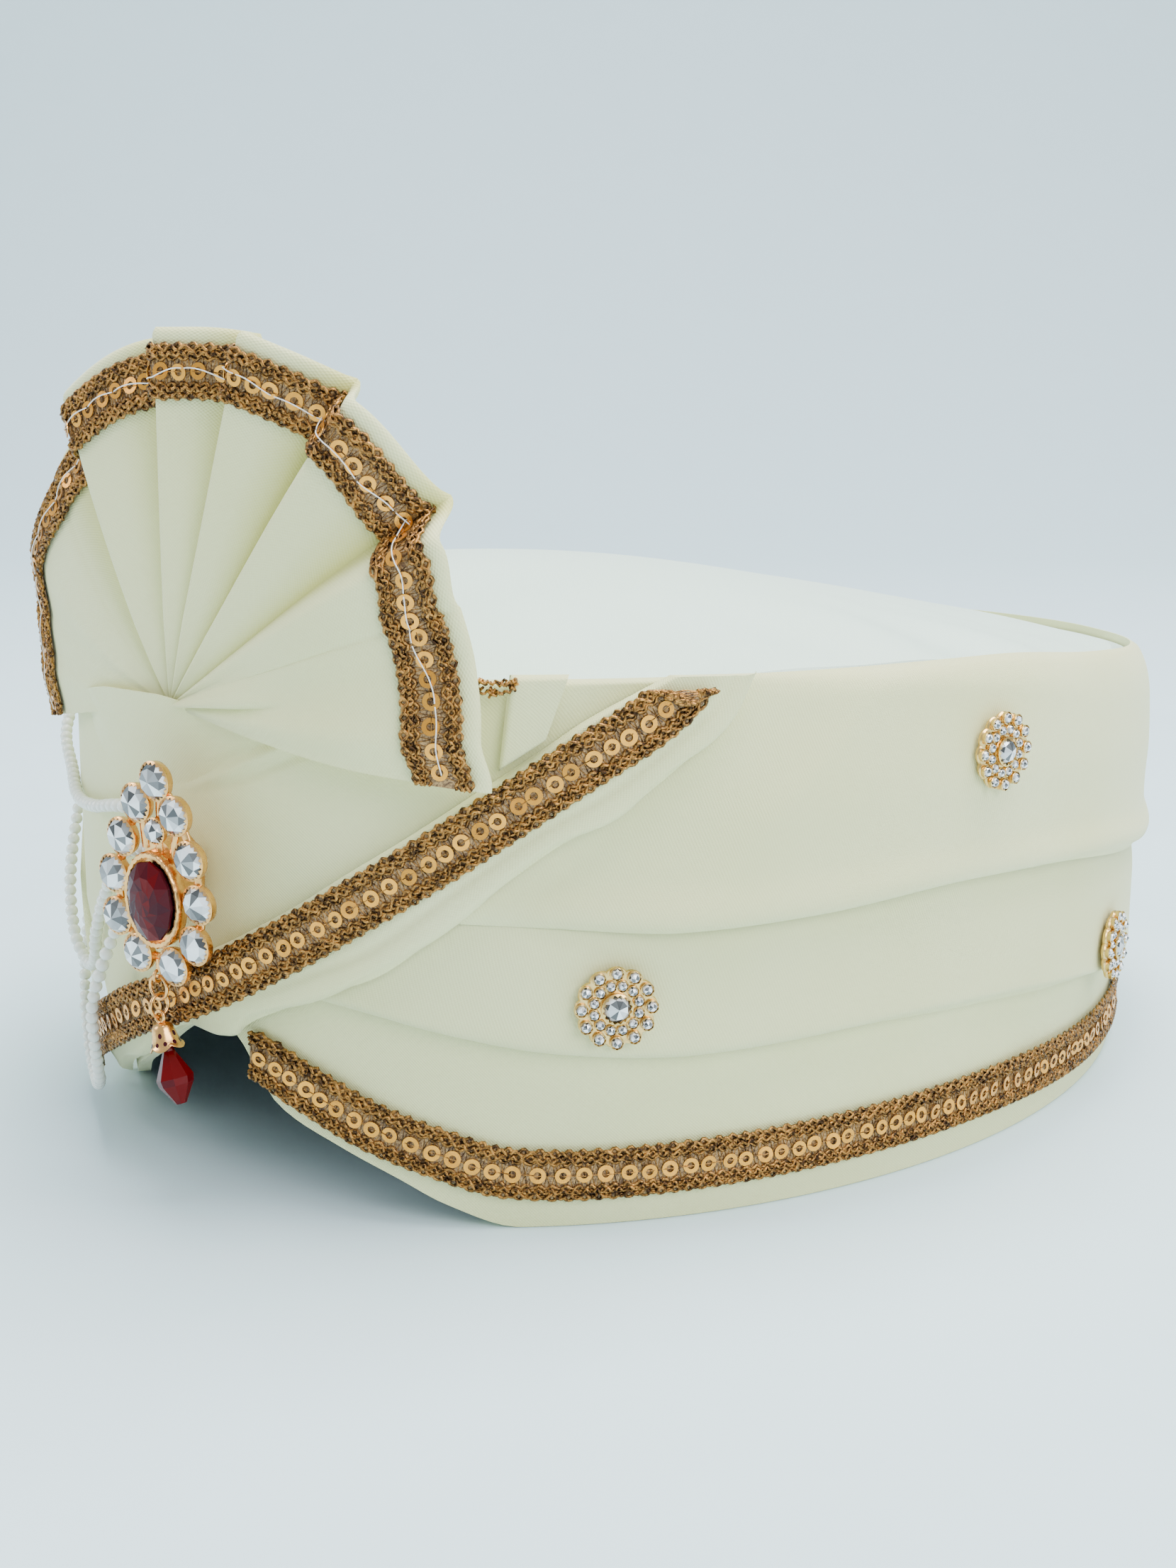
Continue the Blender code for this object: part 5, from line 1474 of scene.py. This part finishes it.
def button_parts():
    """The metal and the stones of one button about its own origin."""
    size = BUTTON_SIZE
    sides = 120
    scallop = [0.455 * size + 0.045 * size * abs(math.cos(6 * FULL_TURN * i / sides)) ** 0.7
               for i in range(sides)]
    steps = ((0.80, 0), (0.97, 0.0005), (1.0, 0.0010), (0.97, 0.00135), (0.90, 0.0014), (0.70, 0.00125),
             (0.35, 0.0014))
    loops = [[(*polar(r * share, FULL_TURN * i / sides), height) for i, r in enumerate(scallop)]
             for share, height in steps]
    base = rings_mesh("button base", loops, "button gold", 40)
    spots = []
    for radius, start, height, spin, scale in ((0.42, 0, 0.0012, 1.7, 1.0), (0.275, 0.5, 0.0011, 2.3, 0.86)):
        for i in range(12):
            place = Matrix.Translation((*polar(radius * size, math.pi * (i + start) / 6), height))
            spots.append((place @ Matrix.Rotation(spin * i, 4, "Z"), scale))
    cups = copies("button cups", spots, toothed_cup(0.165 * size, 0.0008, 8, "button gold"), "button gold")
    stones = copies("button stones", [(m @ Matrix.Translation((0, 0, 0.00055)), s) for m, s in spots],
                    cut_stone(0.135 * size, 0.0009, 7, 3), "clear stone", flat=True)
    middle_cup = toothed_cup(0.38 * size, 0.0013, 16, "button gold")
    middle_cup = moved(middle_cup, Matrix.Translation((0, 0, 0.0010)))
    middle = moved(cut_stone(0.34 * size, 0.0014, 9, 8), Matrix.Translation((0, 0, 0.0018)))
    return join_meshes("button", [base, cups, middle_cup]), join_meshes("button_stones", [stones, middle])


def band_stand(share, angle):
    on_upper = share > level(UPPER_FOLD_LINE, signed(angle), True)
    return LAYER_GAP + (UPPER_FOLD * 1.04 if on_upper else LOWER_FOLD)


def make_buttons():
    metal, stones = button_parts()
    for name, angle, share in BUTTON_SEATS:
        at = seat_frame(angle, share * WALL_HEIGHT, band_stand(share, angle) + SEAT_GAP)
        add_piece(name + "_setting", moved(metal.copy(), at), name, slot="gold_metal")
        add_piece(name + "_stones", moved(stones.copy(), at), slot="button_crystal")


def brooch_cups():
    right = [(x * BROOCH_HALF, y * BROOCH_HALF) for x, y in CUP_PLACES]
    return [(0.0, BROOCH_HALF)] + right + [(-x, y) for x, y in reversed(right)]


def brooch_frame():
    lean = Matrix.Rotation(math.radians(BROOCH_LEAN), 4, "X")
    return seat_frame(BROOCH_ANGLE, BROOCH_HEIGHT, BROOCH_STAND) @ lean @ Matrix.Rotation(
        math.radians(BROOCH_TURN), 4, "Z")


def eye_height():
    return CUP_PLACES[-1][1] * BROOCH_HALF - BROOCH_TAIL - EYE_SIZE / 2 + WIRE * 0.3


def hanging_frame():
    made = seat_frame(BROOCH_ANGLE, 0, BROOCH_STAND)
    made.translation = brooch_frame() @ Vector((0, eye_height(), PLATE_THICK))
    return made


def bar_mesh(start, end, width, low, high):
    """A flat gold bar with rounded edges between two places."""
    along = (Vector(end) - Vector(start)).normalized()
    side = Vector((-along.y, along.x))
    loops = []
    for place in (start, end):
        loop = []
        for k in range(12):
            aside, rise = polar(1, FULL_TURN * k / 12)
            spot = Vector(place) + side * width * aside
            loop.append((spot.x, spot.y, (low + high) / 2 + (high - low) / 2 * rise))
        loops.append(loop)
    return rings_mesh("bar", loops, "brooch gold")


def make_brooch_metal(cups, teeth):
    """The cups, the bars between them, the oval bezel, the pin pad and the eye."""
    middle = -0.15 * BROOCH_HALF
    stretch = CENTRE_STONE_TALL / CENTRE_STONE_WIDE
    bezel = CENTRE_STONE_WIDE / 2 + BEZEL
    spots = [(Matrix.Translation((x, y, 0.12 * CUP_DEPTH)), 1.0) for x, y in cups]
    spots.append((Matrix.Translation((0, SMALL_STONE_HEIGHT, 0.4 * CUP_DEPTH)), 0.68))
    parts = [copies("cups", spots, toothed_cup(CUP_SIZE, CUP_DEPTH, teeth, "brooch gold"), "brooch gold")]
    for a, b in zip(cups, cups[1:] + cups[:1]):
        parts.append(bar_mesh(a, b, 0.0009, 0.0, PLATE_THICK))
    right, left = cups[3], cups[-3]
    for start, end in ((right, (0.55 * bezel, right[1])), (left, (-0.55 * bezel, left[1])),
                       (cups[1], (0.5 * bezel, 0.30 * BROOCH_HALF)),
                       (cups[-1], (-0.5 * bezel, 0.30 * BROOCH_HALF)),
                       (cups[0], (0, middle + 0.8 * bezel * stretch))):
        parts.append(bar_mesh(start, end, 0.0008, 0.0001, 0.9 * PLATE_THICK))
    top = PLATE_THICK + CUP_DEPTH
    sides = 96

    def oval(radius, height, milled=False):
        points = []
        for i in range(sides):
            reach = radius + (0.00012 if milled and i % 3 == 0 else 0)
            across, along = polar(reach, FULL_TURN * i / sides, stretch)
            points.append((across, middle + along, height))
        return points

    loops = [oval(bezel * 0.94, 0), oval(bezel, 0.0004), oval(bezel, top - 0.0003, True),
             oval(bezel - 0.0002, top, True), oval(bezel - 0.0007, top - 0.0001, True),
             oval(bezel - BEZEL * 0.9, top - 0.0006), oval(bezel - BEZEL * 0.9, PLATE_THICK),
             oval(0.5 * bezel, PLATE_THICK), oval(0.5 * bezel, 0)]
    parts.append(rings_mesh("bezel", loops, "brooch gold", 45, closed=True))
    pad_tall = 0.0075
    pad = BROOCH_STAND - SASH_SEAT - SEAT_GAP - pad_tall * math.sin(math.radians(BROOCH_LEAN))
    loops = [circle(radius, height, 40, stretch=pad_tall / 0.0046)
             for radius, height in ((0.0042, -pad), (0.0046, -pad + 0.0006), (0.0046, 0.5 * PLATE_THICK))]
    parts.append(rings_mesh("pin pad", loops, "brooch gold"))
    top_of_eye = eye_height() + EYE_SIZE / 2
    parts.append(bar_mesh((0, cups[5][1]), (0, top_of_eye - 0.7 * WIRE), WIRE, 0.3 * PLATE_THICK,
                          1.3 * PLATE_THICK))
    parts.append(wire_ring(EYE_SIZE, "X", (0, eye_height(), PLATE_THICK)))
    setting = moved(join_meshes("brooch_gold", parts), brooch_frame())
    add_piece("brooch_gold", setting, "brooch_setting", slot="gold_metal")


def make_brooch_stones(cups):
    """The eleven clear stones round the oval and the small one over it."""
    top = PLATE_THICK + CUP_DEPTH
    stones = []
    for index, (x, y) in enumerate(cups):
        stone = cut_stone(0.94 * CUP_SIZE, 0.0017, 9, 20 + index)
        spin = Matrix.Rotation(0.7 * index, 4, "Z")
        stones.append(moved(stone, Matrix.Translation((x, y, top - 0.0011)) @ spin))
    stone = cut_stone(0.62 * CUP_SIZE, 0.0013, 7, 40)
    stones.append(moved(stone, Matrix.Translation((0, SMALL_STONE_HEIGHT, top - 0.0009))))
    gems = moved(join_meshes("brooch_clear_stones", stones), brooch_frame())
    add_piece("brooch_clear_stones", gems, slot="button_crystal")


def make_red_oval():
    sides = 12
    middle = -0.15 * BROOCH_HALF
    half = (CENTRE_STONE_WIDE - 4 * SEAT_GAP + BEZEL * 0.2) / 2
    low = PLATE_THICK + SEAT_GAP
    work = bmesh.new()
    outline = ((0.86, 0.0, 0.0), (1.03, 0.40, 0.0), (1.02, 0.55, 0.0), (0.66, 0.88, 0.5), (0.34, 0.97, 0.0))
    rings = []
    for share, rise, turn in outline:
        ring = []
        for i in range(sides):
            across, along = polar(half * share, FULL_TURN * (i + turn) / sides, 1.34)
            ring.append(work.verts.new((across, middle + along, low + CENTRE_STONE_DEEP * rise)))
        rings.append(ring)
    for a, b in zip(rings, rings[1:]):
        for i in range(sides):
            j = (i + 1) % sides
            work.faces.new((a[i], a[j], b[i]))
            work.faces.new((a[j], b[j], b[i]))
    work.faces.new(rings[0][::-1])
    tip = work.verts.new((0, middle, low + CENTRE_STONE_DEEP))
    for i in range(sides):
        work.faces.new((rings[-1][i], rings[-1][(i + 1) % sides], tip))
    mesh = mesh_of("brooch_red_oval", work, "red stone", 1)
    mesh.shade_flat()
    # Painted light: facets near the middle across the oval are painted lighter, the sides stay dark, with
    # random painted reflections.
    chance = random.Random(77)
    picks = [chance.random() for _ in mesh.polygons]
    paint_facet_light(mesh, lambda face: 0.10 + 0.30 * picks[face.index]
              + 0.75 * hump(face.center.x, 0.1 * half, 0.42 * half) * picks[face.index])
    add_piece("brooch_red_oval", moved(mesh, brooch_frame()), "brooch_red_stone", slot="red_stone")


def make_brooch(scene):
    cups = brooch_cups()
    make_brooch_metal(cups, scene.turban_jewels.cup_teeth)
    make_brooch_stones(cups)
    make_red_oval()


def make_drop():
    """Two jump rings, the bell of the drop and its red stone, hanging from the brooch's eye."""
    link = 2 * WIRE + SEAT_GAP
    upper = -EYE_SIZE / 2 - RING_SIZE / 2 + link
    lower = upper - RING_SIZE + link
    drop_eye = lower - RING_SIZE / 2 - EYE_SIZE / 2 + link
    for name, height, hole in (("jump_ring_upper", upper, "Z"), ("jump_ring_lower", lower, "X")):
        ring = moved(wire_ring(RING_SIZE, hole, (0, height, 0)), hanging_frame())
        add_piece(name + "_wire", ring, name, slot="gold_metal")
    lean = Matrix.Rotation(math.radians(DROP_LEAN), 4, "Z")
    at = hanging_frame() @ Matrix.Translation((0, drop_eye, 0)) @ lean
    make_drop_bell(at)
    make_drop_gem(at)


def make_drop_bell(at):
    wide, tall, shell, start = DROP_CAP_WIDE / 2, DROP_CAP_TALL, DROP_CAP_SHELL, -EYE_SIZE / 2 + 0.0004
    profile = ((0, 0.22), (0.06, 0.48), (0.16, 0.62), (0.35, 0.70), (0.58, 0.78), (0.8, 0.90), (1, 1.04))

    def bell(turn, share, lift):
        """A point of the bell; its skirt is cut into five petals."""
        petal = abs(math.cos(2.5 * (turn - PETAL_TURN)))
        radius = wide * level(profile, share) * (1 + 0.07 * petal * share) + lift
        height = start - tall * (share - 0.16 * (1 - petal) * smooth((share - 0.7) / 0.3))
        return Vector((radius * math.cos(turn), height, radius * math.sin(turn)))

    sides, rows = 80, 16
    rims = [(k, 0) for k in range(rows + 1)] + [(k, -shell * 0.7) for k in range(rows, 4, -1)]
    loops = [[bell(FULL_TURN * i / sides, k / rows, lift) for i in range(sides)] for k, lift in rims]
    parts = [rings_mesh("bell", loops, "brooch gold", 40), wire_ring(EYE_SIZE, "Z")]
    # The petal holes are flat faces of the red stone finish at a fixed dark level: the stone's own red with
    # painted shade inside the bell.
    work = bmesh.new()
    for petal in range(5):
        middle = PETAL_TURN + FULL_TURN * petal / 5
        for aside, share, wide_hole, tall_hole in ((0, 0.44, 0.15, 0.095), (-0.30, 0.74, 0.13, 0.085),
                                                   (0.30, 0.74, 0.13, 0.085)):
            rim = [bell(middle + aside + wide_hole * math.cos(FULL_TURN * k / 12),
                        share + tall_hole * math.sin(FULL_TURN * k / 12), 0.00004) for k in range(12)]
            work.faces.new([work.verts.new(spot) for spot in rim])
    holes = mesh_of("bell holes", work, "red stone", 1)
    paint_facet_light(holes, lambda face: 0.12)
    cap = moved(join_meshes("drop_bell", parts + [holes]), at)
    add_piece("drop_bell", cap, "drop_cap", slot="gold_metal")


def make_drop_gem(at):
    half, long = DROP_STONE_WIDE / 2, DROP_STONE_TALL
    begin = -EYE_SIZE / 2 - 0.30 * DROP_CAP_TALL - SEAT_GAP
    neck = 0.72 * DROP_CAP_WIDE / 2 - DROP_CAP_SHELL - 2 * SEAT_GAP
    outline = ((0.5 * neck, 0.0), (1.02 * neck, -0.14), (1.1 * neck, -0.24), (half, -0.62),
               (0.93 * half, -0.72), (0.40 * half, -0.95), (0.30 * half, -1.0))
    loops = [[(across, begin + long * y, deep) for across, deep, _ in circle(r, 0, 8)] for r, y in outline]
    mesh = rings_mesh("drop_gem", loops, "red stone", 1)
    mesh.shade_flat()
    # Painted light: facets whose normal points along the stone's own X are painted lighter, with random
    # painted reflections.
    chance = random.Random(4)
    picks = [chance.random() for _ in mesh.polygons]
    paint_facet_light(mesh, lambda face: 0.35 + 0.5 * face.normal.x + 0.75 * picks[face.index] ** 1.5)
    add_piece("drop_gem", moved(mesh, at), "drop_stone", slot="red_stone")


def through_points(points, count):
    """Evenly numbered points on a smooth curve through a route's own points."""
    padded = [points[0] * 2 - points[1]] + points + [points[-1] * 2 - points[-2]]
    spans = len(points) - 1
    result = []
    for step in range(count):
        place = spans * step / (count - 1)
        span = min(int(place), spans - 1)
        t = place - span
        a, b, c, d = padded[span:span + 4]
        result.append(0.5 * (b * 2 + (c - a) * t + (a * 2 - b * 5 + c * 4 - d) * t ** 2
                             + (b * 3 - a - c * 3 + d) * t ** 3))
    return result


def make_pearls(scene):
    size = scene.turban_jewels.bead
    for number, (name, route) in enumerate(BEAD_ROUTES):
        points = [wall(p.angle, p.share * WALL_HEIGHT, p.stand * BEAD_STAND) for p in route]
        line = through_points(points, 200)
        beads = run_tree(name + "_beads", path_mesh(name, [line]), "Threaded Beads",
                         {"Radius": size / 2, "Pitch": size * 0.985, "Seed": 11 + number,
                          "Material": finish_named("seed pearl")})
        add_piece(name + "_beads", beads, name, slot="pearl")
        sew(name + "_thread", [line], 0.0002, 5, "pearl", "white thread")


def make_catch():
    """The small bar on the far side that holds the ends of the three strings."""
    ends = [route[-1] for _, route in BEAD_ROUTES]
    low = min(p.share for p in ends) * WALL_HEIGHT - BEAD_SIZE
    high = max(p.share for p in ends) * WALL_HEIGHT + BEAD_SIZE
    near = min(p.angle for p in ends) - (SEAT_GAP + BEAD_SIZE / 2) / arc_per_degree(58)
    seat = SASH_SEAT + SASH_CLOTH + SEAT_GAP

    def at(along, up, face):
        angle = near - 2.2 * along
        height = blend(low, high, up)
        if not face:
            return wall(angle, height, seat)
        dome = 0.35 + 0.65 * rounded(along, 0.5, 0.5) * rounded(up, 0.1, 0.1)
        return wall(angle, height, seat + BEAD_SIZE * dome * (0.92 + 0.08 * math.cos(40 * math.pi * up)))

    mesh = cloth_shell("string_bar", at, 12, 60, "brooch gold")
    add_piece("string_bar", mesh, "string_catch", slot="gold_metal")


# Operators, one for each group of pieces
class TURBAN_OT_stage(bpy.types.Operator):
    """Set the camera, the floor and the soft light"""
    bl_idname = "turban.stage"
    bl_label = "Set Stage"

    def execute(self, context):
        make_stage(context)
        return {"FINISHED"}


class TURBAN_OT_finishes(bpy.types.Operator):
    """Make the cloth, metal, stone and pearl materials"""
    bl_idname = "turban.finishes"
    bl_label = "Make Finishes"

    def execute(self, context):
        make_finishes(context.scene)
        return {"FINISHED"}


class TURBAN_OT_cap(bpy.types.Operator):
    """Make the cap with its crown and lining"""
    bl_idname = "turban.cap"
    bl_label = "Make Cap"

    def execute(self, context):
        make_cap()
        return {"FINISHED"}


class TURBAN_OT_wraps(bpy.types.Operator):
    """Make the two folded wraps round the cap"""
    bl_idname = "turban.wraps"
    bl_label = "Make Wraps"

    def execute(self, context):
        make_lower_band(context.scene)
        make_upper_band(context.scene)
        return {"FINISHED"}


class TURBAN_OT_front(bpy.types.Operator):
    """Make the front cloth, the sashes and the strip's end"""
    bl_idname = "turban.front"
    bl_label = "Make Front"

    def execute(self, context):
        make_front_panel()
        make_pleat_cover()
        make_sash("near_sash", "front_sash", SASH_ROWS, 260, 0.0007)
        make_sash("plain_sash", "far_sash", FAR_SASH_ROWS, 90, 0.0)
        make_strip_end()
        return {"FINISHED"}


class TURBAN_OT_fan(bpy.types.Operator):
    """Make the pleated fan"""
    bl_idname = "turban.fan"
    bl_label = "Make Fan"

    def execute(self, context):
        make_fan()
        return {"FINISHED"}


class TURBAN_OT_lace(bpy.types.Operator):
    """Sew the sequin lace along the rim, the sash and the fan"""
    bl_idname = "turban.lace"
    bl_label = "Sew Lace"

    def execute(self, context):
        scene = context.scene
        place, length = wall_lace(RIM_BRAID, *RIM_LACE_SPAN, LAYER_GAP)
        make_lace(scene, "rim_lace", "rim_braid", place, length, 1)
        place, length = wall_lace(SASH_BRAID, *SASH_LACE_SPAN, SASH_SEAT + SASH_CLOTH + LAYER_GAP)
        make_lace(scene, "sash_lace", "sash_braid", place, length, 2, SASH_LACE_BARE)
        place, length = fan_lace()
        make_lace(scene, "fan_lace", "fan_braid", place, length, 3)
        make_running_stitch(place, length)
        sheet(bpy.data.objects["fan_cloth"])
        return {"FINISHED"}


class TURBAN_OT_buttons(bpy.types.Operator):
    """Make the stone buttons"""
    bl_idname = "turban.buttons"
    bl_label = "Make Buttons"

    def execute(self, context):
        make_buttons()
        return {"FINISHED"}


class TURBAN_OT_brooch(bpy.types.Operator):
    """Make the brooch, its rings and its drop"""
    bl_idname = "turban.brooch"
    bl_label = "Make Brooch"

    def execute(self, context):
        make_brooch(context.scene)
        make_drop()
        return {"FINISHED"}


class TURBAN_OT_pearls(bpy.types.Operator):
    """Thread the pearl strings and make their catch"""
    bl_idname = "turban.pearls"
    bl_label = "Thread Pearls"

    def execute(self, context):
        make_pearls(context.scene)
        make_catch()
        return {"FINISHED"}


STEPS = (TURBAN_OT_stage, TURBAN_OT_finishes, TURBAN_OT_cap, TURBAN_OT_wraps, TURBAN_OT_front, TURBAN_OT_fan,
         TURBAN_OT_lace, TURBAN_OT_buttons, TURBAN_OT_brooch, TURBAN_OT_pearls)


class TURBAN_PT_panel(bpy.types.Panel):
    """The turban's sizes, colours and steps"""
    bl_idname = "TURBAN_PT_panel"
    bl_label = "Tied Turban"
    bl_space_type = "VIEW_3D"
    bl_region_type = "UI"
    bl_category = "Turban"

    def draw(self, context):
        for group in (context.scene.turban_cloth, context.scene.turban_lace, context.scene.turban_jewels):
            box = self.layout.box()
            for name in group.bl_rna.properties.keys():
                if name not in ("rna_type", "name"):
                    box.prop(group, name)
        for step in STEPS:
            self.layout.operator(step.bl_idname)


CLASSES = (TurbanCloth, TurbanLace, TurbanJewels, *STEPS, TURBAN_PT_panel)


def register():
    for item in CLASSES:
        bpy.utils.register_class(item)
    bpy.types.Scene.turban_cloth = PointerProperty(type=TurbanCloth)
    bpy.types.Scene.turban_lace = PointerProperty(type=TurbanLace)
    bpy.types.Scene.turban_jewels = PointerProperty(type=TurbanJewels)


def unregister():
    del bpy.types.Scene.turban_jewels
    del bpy.types.Scene.turban_lace
    del bpy.types.Scene.turban_cloth
    for item in reversed(CLASSES):
        bpy.utils.unregister_class(item)


def main():
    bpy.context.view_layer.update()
    register()
    for step in STEPS:
        group, name = step.bl_idname.split(".")
        getattr(getattr(bpy.ops, group), name)()


if __name__ == "__main__":
    main()
